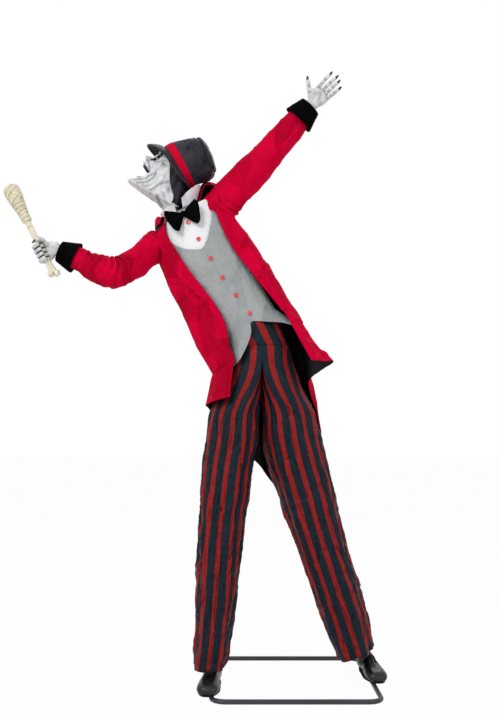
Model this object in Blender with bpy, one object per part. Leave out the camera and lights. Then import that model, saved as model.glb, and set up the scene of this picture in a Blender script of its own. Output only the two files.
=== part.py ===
"""Life-size fire-eater figure: a leaning showman on stilt-long legs, with a torch in his right hand.

Built like the real prop: a bent tube base, plugged leg tubes, motors at the waist, neck, jaw and elbow,
a moulded chest form, a latex mask over a plastic skull, and sewn clothes.
Metres, +Z up. Until the last step everything is placed from the middle of the base frame on the floor:
+X is the figure's left, and -Y is the side that the figure faces.
"""

from math import atan2, cos, exp, pi, radians, sin

import bmesh
import bpy
from mathutils import Matrix, Vector

# Driving dimensions: base frame and legs
BASE_WIDTH = 0.650
BASE_DEPTH = 0.620
BASE_CORNER_RADIUS = 0.050
BASE_TUBE = 0.019
TUBE_WALL = 0.0015
BASE_JOINT_Y = 0.180
PLUG_LENGTH = 0.040
PLUG_CLEARANCE = 0.0004
RIGHT_FOOT_Y = -0.110
LEFT_FOOT_Y = 0.060
LEG_TUBE = 0.0224
KNEE_SHARE = 0.48
SOCKET_HEIGHT = 0.085
HIP_SPACING = 0.110
HIP_DROP = 0.055
YOKE_TUBE = 0.019
WAIST_X = -0.120
WAIST_HEIGHT = 1.350

# Driving dimensions: torso and its clothes
LEAN = radians(32)
SHOULDER_DISTANCE = 0.555
NECK_DISTANCE = 0.695
SHOULDER_HALF_WIDTH = 0.158
SPINE_TUBE = 0.022
SHOULDER_TUBE = 0.019
FORM_WALL = 0.003
CLOTH_GAP = 0.0020
SHIRT_WALL = 0.0015
VEST_WALL = 0.002
COAT_WALL = 0.003
TROUSER_WALL = 0.003
SLEEVE_WALL = 0.003
BUTTON_RADIUS = 0.008

# Driving dimensions: head
HEAD_TILT = radians(50)
JAW_FORWARD = 0.050
JAW_RISE = 0.018
MASK_WALL = 0.003
SKULL_WALL = 0.003
HAT_WALL = 0.0025
HAT_LEAN = radians(10)
HAT_FORWARD = 0.0693
HAT_RISE = 0.1007
HAT_NARROW = 0.87
BAND_HEIGHT = 0.030
BRIM_WIDTH = 0.040
EYE_RADIUS = 0.013

# Driving dimensions: arms, hands and torch
ARM_TUBE = 0.016
ELBOW = Vector((-0.683, -0.110, 1.600))
RIGHT_WRIST = Vector((-0.905, -0.118, 1.695))
LEFT_WRIST = Vector((0.072, -0.080, 2.274))
TORCH_TILT = radians(27)
TORCH_GRIP = Vector((-0.965, -0.140, 1.688))
TORCH_BELOW_GRIP = 0.100
TORCH_SHAFT_RADIUS = 0.0125
GRIP_CLEARANCE = 0.0005
FINGER_RADIUS = 0.0078

# Driving dimensions: joints and drives
BOLT_RADIUS = 0.004
RUNNING_CLEARANCE = 0.0003
PLATE = 0.004
EAR_GAP = 0.034
ELBOW_GAP = 0.018
EAR_RADIUS = 0.013
CRANK_RADIUS = 0.036
CRANK_ANGLE = radians(192)
LINK_LENGTH = 0.078
JAW_ARM_SPACING = 0.090

# The middle of the whole figure's outline, from the middle of the base frame
FIGURE_MIDDLE_X = -0.3704
FIGURE_MIDDLE_Y = 0.0

# Places that follow from the dimensions
ROUND = 12
CLOTH_SIDES = 14
SEAT_GAP = 0.0006
UP = Vector((0, 0, 1))
FRONT = Vector((0, -1, 0))
ACROSS = Vector((1, 0, 0))
SPINE = Vector((-sin(LEAN), 0, cos(LEAN)))
TO_LEFT = Vector((cos(LEAN), 0, sin(LEAN)))
WAIST = Vector((WAIST_X, 0, WAIST_HEIGHT))
HIPS = WAIST - UP * HIP_DROP
SHOULDERS = WAIST + SPINE * SHOULDER_DISTANCE
RIGHT_SHOULDER = SHOULDERS - TO_LEFT * SHOULDER_HALF_WIDTH
LEFT_SHOULDER = SHOULDERS + TO_LEFT * SHOULDER_HALF_WIDTH
NECK = WAIST + SPINE * NECK_DISTANCE
FACE = Vector((-cos(HEAD_TILT), 0, sin(HEAD_TILT)))
CROWN = Vector((sin(HEAD_TILT), 0, cos(HEAD_TILT)))
JAW = NECK + FACE * JAW_FORWARD + CROWN * JAW_RISE
TORCH = Vector((-sin(TORCH_TILT), 0, cos(TORCH_TILT)))
MOTOR_SHAFT = WAIST - UP * LINK_LENGTH
CRANK_ARM = Vector((cos(CRANK_ANGLE), 0, sin(CRANK_ANGLE)))
RAIL_X = (BASE_WIDTH - BASE_TUBE) / 2
RAIL_Y = (BASE_DEPTH - BASE_TUBE) / 2
RAIL_Z = BASE_TUBE / 2 * cos(pi / ROUND)
PIN_HOLE = BOLT_RADIUS + RUNNING_CLEARANCE

BODY_AT = {}


# Scene, bodies and materials


def clear_scene():
    for obj in list(bpy.data.objects):
        bpy.data.objects.remove(obj)


def body(name, at, parent=None):
    """An empty on a joint's axis, which carries the pieces that move together."""
    empty = bpy.data.objects.new("body_" + name, None)
    bpy.context.scene.collection.objects.link(empty)
    BODY_AT[name] = (empty, Vector(at))
    if parent:
        empty.parent = BODY_AT[parent][0]
        empty.location = Vector(at) - BODY_AT[parent][1]
    else:
        empty.location = Vector(at) - Vector((FIGURE_MIDDLE_X, FIGURE_MIDDLE_Y, 0))


def material(name, colour, roughness, metallic=0.0):
    made = bpy.data.materials.new(name)
    made.use_nodes = True
    shader = made.node_tree.nodes["Principled BSDF"]
    shader.inputs["Base Color"].default_value = (*colour, 1)
    shader.inputs["Roughness"].default_value = roughness
    shader.inputs["Metallic"].default_value = metallic
    made.diffuse_color = (*colour, 1)
    return made


def piece(name, bm, on, finish, hidden=False):
    """A named object on a body. The mesh is given from the middle of the base frame."""
    empty, at = BODY_AT[on]
    bmesh.ops.translate(bm, vec=-at, verts=bm.verts)
    mesh = bpy.data.meshes.new(name)
    bm.to_mesh(mesh)
    bm.free()
    mesh.shade_smooth()
    mesh.set_sharp_from_angle(angle=radians(40))
    obj = bpy.data.objects.new(name, mesh)
    bpy.context.scene.collection.objects.link(obj)
    obj.parent = empty
    if hidden:
        obj.hide_render = True
        obj.display_type = "WIRE"
    else:
        mesh.materials.append(finish)
    return obj


def boolean(obj, bm, on, operation):
    helper = piece(obj.name + "_" + operation.lower(), bm, on, None, hidden=True)
    modifier = obj.modifiers.new(helper.name, "BOOLEAN")
    modifier.operation = operation
    modifier.object = helper
    modifier.solver = "EXACT"


def fuse(obj, bm, on):
    """Joins another closed shape to a piece."""
    boolean(obj, bm, on, "UNION")


def cut(obj, bm, on):
    """Cuts a closed shape out of a piece."""
    boolean(obj, bm, on, "DIFFERENCE")


def thicken(obj, wall):
    """Gives a sheet whose normals point out a wall on its inner side."""
    solid = obj.modifiers.new("wall", "SOLIDIFY")
    solid.thickness = wall
    solid.offset = -1
    return obj


# Shapes


def place(at, along, side=None):
    """Local Z runs along the given direction, and local X as near to side as it can."""
    z = Vector(along).normalized()
    x = Vector(side) if side is not None else (UP if abs(z.z) < 0.9 else ACROSS)
    x = (x - z * x.dot(z)).normalized()
    y = z.cross(x)
    return Matrix((
        (x.x, y.x, z.x, at[0]),
        (x.y, y.y, z.y, at[1]),
        (x.z, y.z, z.z, at[2]),
        (0, 0, 0, 1),
    ))


def between(table, value):
    """Reads a smooth curve through (position, size) pairs."""
    if value <= table[0][0]:
        return table[0][1]
    if value >= table[-1][0]:
        return table[-1][1]
    i = max(k for k in range(len(table) - 1) if table[k][0] <= value)
    (x0, y0), (x1, y1) = table[i], table[i + 1]

    def slope(k):
        low, high = max(k - 1, 0), min(k + 1, len(table) - 1)
        return (table[high][1] - table[low][1]) / (table[high][0] - table[low][0])

    h = x1 - x0
    t = (value - x0) / h
    start = y0 * (2 * t**3 - 3 * t**2 + 1) + slope(i) * h * (t**3 - 2 * t**2 + t)
    return start + y1 * (3 * t**2 - 2 * t**3) + slope(i + 1) * h * (t**3 - t**2)


def turned(profile, at, along, sides=ROUND, side=None):
    """A turned shape from (radius, height) pairs. It is solid where the profile meets the axis."""
    bm = bmesh.new()
    points = [bm.verts.new((r, 0, h)) for r, h in profile]
    pairs = list(zip(points, points[1:]))
    if profile[0][0] > 0:
        pairs.append((points[-1], points[0]))
    edges = [bm.edges.new(pair) for pair in pairs if max(v.co.x for v in pair) > 0]
    bmesh.ops.spin(
        bm, geom=points + edges, cent=(0, 0, 0), axis=(0, 0, 1), angle=2 * pi, steps=sides, use_merge=True
    )
    bmesh.ops.remove_doubles(bm, verts=bm.verts, dist=1e-6)
    bmesh.ops.recalc_face_normals(bm, faces=bm.faces)
    bm.transform(place(at, along, side))
    return bm


def rod(start, end, radius, sides=ROUND, side=None):
    start, end = Vector(start), Vector(end)
    length = (end - start).length
    return turned([(0, 0), (radius, 0), (radius, length), (0, length)], start, end - start, sides, side)


def pipe(start, end, radius, bore, sides=ROUND, plug=0.0):
    """A straight tube with an open bore, and at its far end a reduced plug for the next tube."""
    start, end = Vector(start), Vector(end)
    length = (end - start).length
    profile = [(bore, 0), (radius, 0), (radius, length)]
    if plug:
        profile += [(plug, length), (plug, length + PLUG_LENGTH), (bore, length + PLUG_LENGTH)]
    else:
        profile.append((bore, length))
    return turned(profile, start, end - start, sides)


def ball(at, radius, sides=ROUND):
    steps = sides // 2
    arc = [(radius * sin(pi * i / steps), -radius * cos(pi * i / steps)) for i in range(1, steps)]
    return turned([(0, -radius), *arc, (0, radius)], at, FRONT, sides)


def block(size, at, along=UP, side=None, bevel=0.0):
    """A box. Its size is given along side, across both, and along the direction."""
    bm = bmesh.new()
    bmesh.ops.create_cube(bm, size=1)
    bmesh.ops.scale(bm, vec=size, verts=bm.verts)
    if bevel:
        bmesh.ops.bevel(bm, geom=bm.edges[:], offset=bevel, segments=1, affect="EDGES", profile=0.5)
    bm.transform(place(at, along, side))
    return bm


def lug(front_y, root, tip, root_radius, tip_radius, root_hole=0.0, tip_hole=0.0, thickness=PLATE):
    """A lever plate square to Y, with round ends at two points and a hole in each end that has one."""
    a, b = Vector((root[0], root[2])), Vector((tip[0], tip[2]))
    heading = atan2(b.y - a.y, b.x - a.x)
    outline = []
    for middle, radius, start in ((b, tip_radius, heading - pi / 2), (a, root_radius, heading + pi / 2)):
        for i in range(7):
            angle = start + pi * i / 6
            outline.append((middle.x + radius * cos(angle), middle.y + radius * sin(angle)))
    loops = [outline]
    for middle, radius in ((a, root_hole), (b, tip_hole)):
        if radius:
            turn = [2 * pi * i / 10 for i in range(10)]
            loops.append([(middle.x + radius * cos(t), middle.y + radius * sin(t)) for t in turn])
    bm = bmesh.new()
    edges = []
    for loop in loops:
        points = [bm.verts.new((x, front_y, z)) for x, z in loop]
        edges += [bm.edges.new(pair) for pair in zip(points, points[1:] + points[:1])]
    bmesh.ops.triangle_fill(bm, edges=edges, use_beauty=True)
    grown = bmesh.ops.extrude_face_region(bm, geom=bm.faces[:], use_keep_orig=True)
    raised = [v for v in grown["geom"] if isinstance(v, bmesh.types.BMVert)]
    bmesh.ops.translate(bm, vec=(0, thickness, 0), verts=raised)
    bmesh.ops.recalc_face_normals(bm, faces=bm.faces)
    return bm


def skin(rows, around=False, capped=False):
    """Skins rows of points. around joins each row's ends, and capped closes the first and last rows."""
    bm = bmesh.new()
    grid = [[bm.verts.new(p) for p in row] for row in rows]
    count = len(grid[0])
    for low, high in zip(grid, grid[1:]):
        for i in range(count if around else count - 1):
            j = (i + 1) % count
            bm.faces.new((low[i], low[j], high[j], high[i]))
    if capped:
        bm.faces.new(list(reversed(grid[0])))
        bm.faces.new(grid[-1])
        bmesh.ops.recalc_face_normals(bm, faces=bm.faces)
    return bm


def ring_skin(rows):
    """Skins rows whose last one meets the first again, such as a hoop or an open tube with a wall."""
    bm = skin([*rows, rows[0]], around=True)
    bmesh.ops.remove_doubles(bm, verts=bm.verts, dist=1e-6)
    bmesh.ops.recalc_face_normals(bm, faces=bm.faces)
    return bm


def swept(path, sizes, side, sides=ROUND, phase=0.0):
    """Elliptical rows along a path. Each size is the half width towards side, then the one across it."""
    path = [Vector(p) for p in path]
    rows = []
    for i, at in enumerate(path):
        ahead = (path[min(i + 1, len(path) - 1)] - path[max(i - 1, 0)]).normalized()
        first = (Vector(side) - ahead * Vector(side).dot(ahead)).normalized()
        second = ahead.cross(first)
        wide, thick = sizes[i]
        turn = [2 * pi * (k + phase) / sides for k in range(sides)]
        rows.append([at + first * wide * cos(t) + second * thick * sin(t) for t in turn])
    return rows


def limb(path, sizes, side, sides=ROUND):
    """A closed swept shape, such as a finger or a palm."""
    return skin(swept(path, sizes, side, sides), around=True, capped=True)


def cloth_tube(path, radii, wall, before=None, after=None):
    """An open cloth tube along a path. before and after are the path's next points, and square its ends."""
    start, end = before is not None, after is not None
    whole = [before] * start + list(path) + [after] * end
    around = [radii[0]] * start + list(radii) + [radii[-1]] * end
    kept = slice(int(start), len(whole) - int(end))
    outer = swept(whole, [(r, r) for r in around], FRONT, CLOTH_SIDES)[kept]
    inner = swept(whole, [(r - wall, r - wall) for r in around], FRONT, CLOTH_SIDES)[kept]
    return ring_skin(outer + inner[::-1])


def bent_tube(corners, radius, bend, bore, steps=4):
    """An open-bored tube through corner points, with round bends and a flat facet below."""
    corners = [Vector(c) for c in corners]
    path = [corners[0]]
    for before, corner, after in zip(corners, corners[1:], corners[2:]):
        into, out = (corner - before).normalized(), (after - corner).normalized()
        inward = (out - into * out.dot(into)).normalized()
        turn = into.angle(out)
        start = corner - into * bend * sin(turn / 2) / cos(turn / 2)
        centre = start + inward * bend
        for k in range(steps + 1):
            angle = turn * k / steps
            path.append(centre - inward * bend * cos(angle) + into * bend * sin(angle))
    path.append(corners[-1])
    outer = swept(path, [(radius, radius)] * len(path), UP, ROUND, 0.5)
    return ring_skin(outer + swept(path, [(bore, bore)] * len(path), UP, ROUND, 0.5)[::-1])


def gearmotor(name, shaft_end, facing, up, size, reach, can, on, finish):
    """A geared motor. size is its box's height, width and depth; reach is how far the shaft stands out."""
    tall, wide, deep = size
    facing, up = Vector(facing).normalized(), Vector(up).normalized()
    face_at = Vector(shaft_end) - facing * reach
    middle = face_at - facing * deep / 2 + up * (tall / 2 - wide / 2)
    motor = piece(name, block((tall, wide, deep), middle, facing, up, bevel=0.003), on, finish)
    can_radius, can_length = can
    back = middle - facing * (deep / 2 - 0.002)
    fuse(motor, rod(back, back - facing * (can_length + 0.002), can_radius, 14), on)
    fuse(motor, rod(face_at - facing * 0.004, shaft_end, BOLT_RADIUS, 10), on)
    return motor


# Base frame, legs, hips and shoes


def foot(side):
    """Where a leg's socket is welded to its rail, and where the leg meets the hip yoke."""
    rail = Vector((side * RAIL_X, LEFT_FOOT_Y if side > 0 else RIGHT_FOOT_Y, RAIL_Z))
    return rail, HIPS + ACROSS * side * HIP_SPACING / 2


def make_base(steel):
    """Two bent tubes, plugged into each other on the side rails. The front one carries the leg sockets."""
    bore = BASE_TUBE / 2 - TUBE_WALL
    plug = bore - PLUG_CLEARANCE
    ends = {}
    for name, far, joint in (("base_front_frame", -RAIL_Y, 0), ("base_rear_frame", RAIL_Y, PLUG_CLEARANCE)):
        near = BASE_JOINT_Y + joint
        turns = ((-RAIL_X, near), (-RAIL_X, far), (RAIL_X, far), (RAIL_X, near))
        corners = [(x, y, RAIL_Z) for x, y in turns]
        ends[name] = piece(name, bent_tube(corners, BASE_TUBE / 2, BASE_CORNER_RADIUS, bore), "base", steel)
    for side in (-1, 1):
        joint = Vector((side * RAIL_X, BASE_JOINT_Y, RAIL_Z))
        weld = joint - FRONT * PLUG_LENGTH
        rear = ends["base_rear_frame"]
        fuse(rear, pipe(weld, joint + FRONT * PLUG_LENGTH, plug, plug - TUBE_WALL), "base")
        seam = joint - FRONT * PLUG_LENGTH / 2
        fuse(rear, pipe(weld, seam, bore + TUBE_WALL / 2, plug - TUBE_WALL / 2), "base")
        rail, hip = foot(side)
        socket_top = rail + (hip - rail).normalized() * SOCKET_HEIGHT
        socket = LEG_TUBE / 2 - TUBE_WALL - PLUG_CLEARANCE
        fuse(ends["base_front_frame"], rod(rail, socket_top, socket), "base")


def make_legs(steel):
    """Each leg is two tubes: the lower slides over the base socket, and its top plugs into the upper."""
    bore = LEG_TUBE / 2 - TUBE_WALL
    plug = bore - PLUG_CLEARANCE
    for side, name in ((-1, "right"), (1, "left")):
        rail, hip = foot(side)
        heading = (hip - rail).normalized()
        bottom = rail + heading * (BASE_TUBE / 2 + LEG_TUBE / 4)
        knee = rail + (hip - rail) * KNEE_SHARE
        outer = pipe(bottom, knee, LEG_TUBE / 2, plug - TUBE_WALL, plug=plug)
        lower = piece(name + "_lower_leg_tube", outer, "base", steel)
        cut(lower, rod(bottom - heading * 0.01, rail + heading * (SOCKET_HEIGHT + 0.005), bore), "base")
        top = hip - heading * (YOKE_TUBE / 2 + LEG_TUBE / 4)
        upper = pipe(knee + heading * PLUG_CLEARANCE, top, LEG_TUBE / 2, bore)
        piece(name + "_upper_leg_tube", upper, "base", steel)


SEAT_HALF_WIDTH = 0.100
SEAT_HALF_DEPTH = 0.084
TROUSER_SIDES = 18
HOOP_BAR = 0.004
HOOP_HEIGHT = 0.016
HOOP_HALF_WIDTH = SEAT_HALF_WIDTH - TROUSER_WALL - PLUG_CLEARANCE
HOOP_HALF_DEPTH = SEAT_HALF_DEPTH - TROUSER_WALL - PLUG_CLEARANCE
WAIST_MOTOR_SIZE = (0.060, 0.046, 0.022)
WAIST_MOTOR_CAN = (0.017, 0.024)
ROCKER_Y = EAR_GAP / 2 + PLATE + 0.0015
LINK_Y = ROCKER_Y + PLATE + 0.0008
MOTOR_FACE_Y = LINK_Y + PLATE + 0.0012
SHELF_WIDTH = 0.030


def make_hip_yoke(steel):
    """A cross tube with the leg plugs, the waist pivot's ears, the motor's shelf and the waist hoop."""
    reach = ACROSS * (HOOP_HALF_WIDTH - HOOP_BAR / 2)
    yoke = piece("hip_yoke", rod(HIPS - reach, HIPS + reach, YOKE_TUBE / 2), "base", steel)
    for side in (-1, 1):
        rail, hip = foot(side)
        plug = LEG_TUBE / 2 - TUBE_WALL - PLUG_CLEARANCE
        fuse(yoke, rod(hip, hip + (rail - hip).normalized() * (PLUG_LENGTH + YOKE_TUBE), plug), "base")
        ear_at = side * (EAR_GAP + PLATE) / 2 - PLATE / 2
        fuse(yoke, lug(ear_at, HIPS, WAIST, EAR_RADIUS, EAR_RADIUS, 0, PIN_HOLE), "base")
    fuse(yoke, block((0.020, EAR_GAP + PLATE, 0.012), HIPS, UP, ACROSS), "base")
    hoop = []
    for grow, height in ((0, -0.5), (0, 0.5), (-HOOP_BAR, 0.5), (-HOOP_BAR, -0.5)):
        turn = [2 * pi * k / TROUSER_SIDES for k in range(TROUSER_SIDES)]
        wide, deep = HOOP_HALF_WIDTH + grow, HOOP_HALF_DEPTH + grow
        hoop.append([HIPS + Vector((wide * cos(t), deep * sin(t), HOOP_HEIGHT * height)) for t in turn])
    fuse(yoke, ring_skin(hoop), "base")
    tall, wide, deep = WAIST_MOTOR_SIZE
    shelf_z = MOTOR_SHAFT.z + wide / 2 - tall - RUNNING_CLEARANCE
    back = MOTOR_FACE_Y + deep
    drop = HIPS.z - shelf_z + PLATE
    fuse(yoke, block((SHELF_WIDTH, PLATE, drop), (WAIST_X, 0, HIPS.z - drop / 2), UP, ACROSS), "base")
    shelf_at = (WAIST_X, back / 2, shelf_z - PLATE / 2)
    fuse(yoke, block((SHELF_WIDTH, back, PLATE), shelf_at, UP, ACROSS), "base")


# Shoe sections from heel to toe: distance in front of the leg, half width, height
SHOE_SECTIONS = (
    (-0.078, 0.018, 0.050),
    (-0.066, 0.031, 0.066),
    (-0.035, 0.035, 0.078),
    (0.005, 0.034, 0.080),
    (0.045, 0.036, 0.064),
    (0.090, 0.042, 0.050),
    (0.128, 0.043, 0.043),
    (0.154, 0.036, 0.036),
    (0.168, 0.020, 0.026),
)
SHOE_SHAFT = ((0.045, 0.031, 0.036), (0.085, 0.0265, 0.032), (0.150, 0.029, 0.034))
SHOE_TOE_OUT = radians(6)
SHOE_CLEARANCE = 0.0004


def make_shoe(side, name, vinyl):
    """A boot that stands on its rail, with the leg tube passing down through its shaft and sole."""
    rail, hip = foot(side)
    heading = (hip - rail).normalized()
    turn = Matrix.Rotation(side * SHOE_TOE_OUT, 3, "Z")
    floor = 2 * RAIL_Z + SHOE_CLEARANCE
    rows = []
    for ahead, half, height in SHOE_SECTIONS:
        row = []
        for k in range(ROUND):
            angle = 2 * pi * k / ROUND
            z = height / 2 * (1 + max(-1.0, min(1.0, sin(angle) * 1.2)))
            across = half * cos(angle) * (1 - 0.35 * (z / 0.08) ** 2)
            row.append(Vector((rail.x, rail.y, floor + z)) + turn @ Vector((across, -ahead, 0)))
        rows.append(row)
    shoe = piece(name + "_shoe", skin(rows, around=True, capped=True), "base", vinyl)
    path = [rail + heading * (z - RAIL_Z) / heading.z for z, _, _ in SHOE_SHAFT]
    fuse(shoe, limb(path, [(wide, deep) for _, wide, deep in SHOE_SHAFT], ACROSS), "base")
    top = rail + heading * 2 * SHOE_SHAFT[-1][0]
    cut(shoe, rod(rail - heading * 0.01, top, LEG_TUBE / 2 + SHOE_CLEARANCE), "base")


# Trouser sections, top to bottom: height, middle x, middle y, half width, half depth
SEAT = (
    (1.335, WAIST_X, 0.000, SEAT_HALF_WIDTH - 0.004, SEAT_HALF_DEPTH - 0.004),
    (HIPS.z + HOOP_HEIGHT / 2, WAIST_X, 0.000, SEAT_HALF_WIDTH, SEAT_HALF_DEPTH),
    (1.260, WAIST_X, 0.000, 0.122, 0.092),
    (1.220, WAIST_X, 0.000, 0.146, 0.097),
    (1.180, WAIST_X, 0.002, 0.150, 0.090),
)
RIGHT_TROUSER = (
    (1.270, -0.168, 0.000, 0.052, 0.078),
    (1.220, -0.200, -0.004, 0.086, 0.100),
    (1.100, -0.226, -0.014, 0.094, 0.104),
    (0.960, -0.240, -0.026, 0.102, 0.104),
    (0.880, -0.253, -0.034, 0.099, 0.102),
    (0.720, -0.272, -0.048, 0.091, 0.098),
    (0.560, -0.288, -0.062, 0.085, 0.094),
    (0.400, -0.299, -0.076, 0.079, 0.092),
    (0.240, -0.311, -0.088, 0.070, 0.090),
    (0.130, -0.323, -0.096, 0.063, 0.088),
    (0.084, -0.328, -0.100, 0.058, 0.088),
)
LEFT_TROUSER = (
    (1.270, -0.062, 0.000, 0.052, 0.078),
    (1.220, -0.040, 0.002, 0.084, 0.100),
    (1.100, -0.014, 0.008, 0.098, 0.104),
    (0.960, 0.006, 0.014, 0.114, 0.104),
    (0.880, 0.025, 0.018, 0.117, 0.102),
    (0.720, 0.070, 0.026, 0.111, 0.100),
    (0.560, 0.116, 0.034, 0.102, 0.098),
    (0.400, 0.168, 0.042, 0.093, 0.096),
    (0.240, 0.221, 0.050, 0.082, 0.092),
    (0.150, 0.250, 0.054, 0.072, 0.090),
    (0.098, 0.266, 0.056, 0.066, 0.088),
)
LEFT_HEM_SLOPE = 0.40
FOLD_DEPTH = 0.05


def trouser_rows(sections, grow, folds, hem_slope):
    """Rows round the seat or a leg, with hanging folds. A slope cuts the hem square to a slanting leg."""
    rows = []
    for i, (z, x, y, half, depth) in enumerate(sections):
        share = i / (len(sections) - 1)
        row = []
        for k in range(TROUSER_SIDES):
            angle = 2 * pi * k / TROUSER_SIDES
            fold = 1 + folds * sin(3 * angle + 9 * share) * sin(6 * share)
            across = (half * fold + grow) * cos(angle)
            lean = across * hem_slope * max(0.0, share - 0.5) / 0.5
            row.append(Vector((x + across, y + (depth * fold + grow) * sin(angle), z + lean)))
        rows.append(row)
    return rows


def make_trousers(cloth):
    """Wide trousers: seat and both legs in one garment, open inside from the waist to the hems."""
    legs = ((RIGHT_TROUSER, 0.0), (LEFT_TROUSER, LEFT_HEM_SLOPE))
    trousers = piece("trousers", skin(trouser_rows(SEAT, 0, 0, 0), around=True, capped=True), "base", cloth)
    for sections, slope in legs:
        fuse(trousers, skin(trouser_rows(sections, 0, FOLD_DEPTH, slope), around=True, capped=True), "base")
    inside = trouser_rows(SEAT, -TROUSER_WALL, 0, 0)
    inside[0] = [p + UP * 0.01 for p in inside[0]]
    cut(trousers, skin(inside, around=True, capped=True), "base")
    for sections, slope in legs:
        inside = trouser_rows(sections, -TROUSER_WALL, FOLD_DEPTH, slope)
        inside[0] = [p + UP * 0.005 for p in inside[0]]
        inside[-1] = [p - UP * 0.02 for p in inside[-1]]
        cut(trousers, skin(inside, around=True, capped=True), "base")


# Waist drive


def make_waist_drive(steel, plastic):
    """The motor's crank and the rocker on the waist shaft are two parallel arms that one link couples."""
    crank_pin = MOTOR_SHAFT + CRANK_ARM * CRANK_RADIUS
    rocker_pin = WAIST + CRANK_ARM * CRANK_RADIUS
    crank = lug(ROCKER_Y, MOTOR_SHAFT, crank_pin, 0.011, 0.008, PIN_HOLE, PIN_HOLE)
    piece("waist_crank", crank, "waist_crank", steel)
    bar = piece("waist_link", lug(LINK_Y, crank_pin, rocker_pin, 0.008, 0.008), "waist_link", steel)
    for pin in (crank_pin, rocker_pin):
        pin_back, pin_front = pin - FRONT * (LINK_Y + PLATE / 2), pin - FRONT * (ROCKER_Y - 0.0008)
        fuse(bar, rod(pin_back, pin_front, BOLT_RADIUS, 10), "waist_link")
    head = WAIST + FRONT * (EAR_GAP / 2 + PLATE + 0.0004)
    rear = WAIST - FRONT * (ROCKER_Y + PLATE / 2)
    shaft = piece("waist_shaft", rod(head, rear, BOLT_RADIUS), "torso", steel)
    fuse(shaft, rod(head, head + FRONT * PLATE, 2 * BOLT_RADIUS, 6), "torso")
    fuse(shaft, lug(ROCKER_Y, WAIST, rocker_pin, 0.011, 0.008, 0, PIN_HOLE), "torso")
    shaft_end = MOTOR_SHAFT - FRONT * (ROCKER_Y + 0.0004)
    reach = MOTOR_FACE_Y - ROCKER_Y - 0.0004
    size, can = WAIST_MOTOR_SIZE, WAIST_MOTOR_CAN
    gearmotor("waist_motor", shaft_end, FRONT, -UP, size, reach, can, "base", plastic)


# Torso frame, chest form and control box

FORM_HALF_WIDTH = ((0.10, 0.112), (0.22, 0.114), (0.36, 0.128), (0.47, 0.140), (0.55, 0.124), (0.61, 0.072))
FORM_HALF_DEPTH = ((0.10, 0.080), (0.22, 0.084), (0.36, 0.094), (0.47, 0.096), (0.55, 0.090), (0.61, 0.074))
FORM_BOTTOM = 0.100
FORM_TOP = 0.610
BACK_OPEN = 140
COLUMN = 10
MOTOR_GAP = 0.0006
NECK_MOTOR_SIZE = (0.046, 0.034, 0.020)
NECK_MOTOR_CAN = (0.013, 0.016)


def torso_point(distance, degrees, off):
    """A point round the torso. Angle 0 is the front, and positive angles turn to the figure's left."""
    angle = radians(degrees)
    half, depth = between(FORM_HALF_WIDTH, distance), between(FORM_HALF_DEPTH, distance)
    middle = WAIST + SPINE * distance
    return middle + TO_LEFT * (half + off) * sin(angle) + FRONT * (depth + off) * cos(angle)


def torso_sheet(start, end, rows, low, high, off):
    """A sheet round the torso between two angles in degrees, from low(angle) up to high(angle)."""
    columns = round((end - start) / COLUMN)
    made = []
    for r in range(rows + 1):
        row = []
        for c in range(columns + 1):
            angle = start + (end - start) * c / columns
            distance = low(angle) + (high(angle) - low(angle)) * r / rows
            row.append(torso_point(distance, angle, off(distance)))
        made.append(row)
    return skin(made)


def make_chest_form(plastic):
    """The moulded chest: a shell that is open at the back, with a hole each side for the shoulder tube."""
    sheet = torso_sheet(-BACK_OPEN, BACK_OPEN, 8, lambda a: FORM_BOTTOM, lambda a: FORM_TOP, lambda d: 0.0)
    form = thicken(piece("chest_form", sheet, "torso", plastic), FORM_WALL)
    for side in (-1, 1):
        inner, outer = SHOULDERS + TO_LEFT * side * 0.05, SHOULDERS + TO_LEFT * side * 0.2
        cut(form, rod(inner, outer, SHOULDER_TUBE / 2 + PLUG_CLEARANCE), "torso")


def pivot_ears(obj, at, root, gap, on):
    """Two ears square to Y with a pin hole, joined by a block at their root."""
    for side in (-1, 1):
        ear_at = at.y + side * (gap + PLATE) / 2 - PLATE / 2
        fuse(obj, lug(ear_at, root, at, EAR_RADIUS, EAR_RADIUS, 0, PIN_HOLE), on)
    fuse(obj, block((0.020, gap + PLATE, 0.012), root, at - root, ACROSS), on)


def make_spine(steel):
    """The spine tube with its waist hub, and the ears that carry the neck pivot."""
    hub_half = EAR_GAP / 2 - RUNNING_CLEARANCE
    hub = pipe(WAIST - FRONT * hub_half, WAIST + FRONT * hub_half, EAR_RADIUS, PIN_HOLE)
    spine = piece("spine", hub, "torso", steel)
    neck_root = NECK - SPINE * 0.034
    fuse(spine, rod(WAIST + SPINE * 0.009, neck_root + SPINE * 0.003, SPINE_TUBE / 2), "torso")
    pivot_ears(spine, NECK, neck_root, EAR_GAP, "torso")


def make_neck_motor(plastic):
    """The neck motor sits in front of the ears, and its shaft runs through them and the skull's hub."""
    reach = EAR_GAP + 2 * PLATE + 0.002
    shaft_end = NECK + FRONT * (EAR_GAP / 2 + PLATE + MOTOR_GAP)
    size, can = NECK_MOTOR_SIZE, NECK_MOTOR_CAN
    gearmotor("neck_motor", shaft_end, FRONT, -SPINE, size, reach, can, "torso", plastic)


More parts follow.
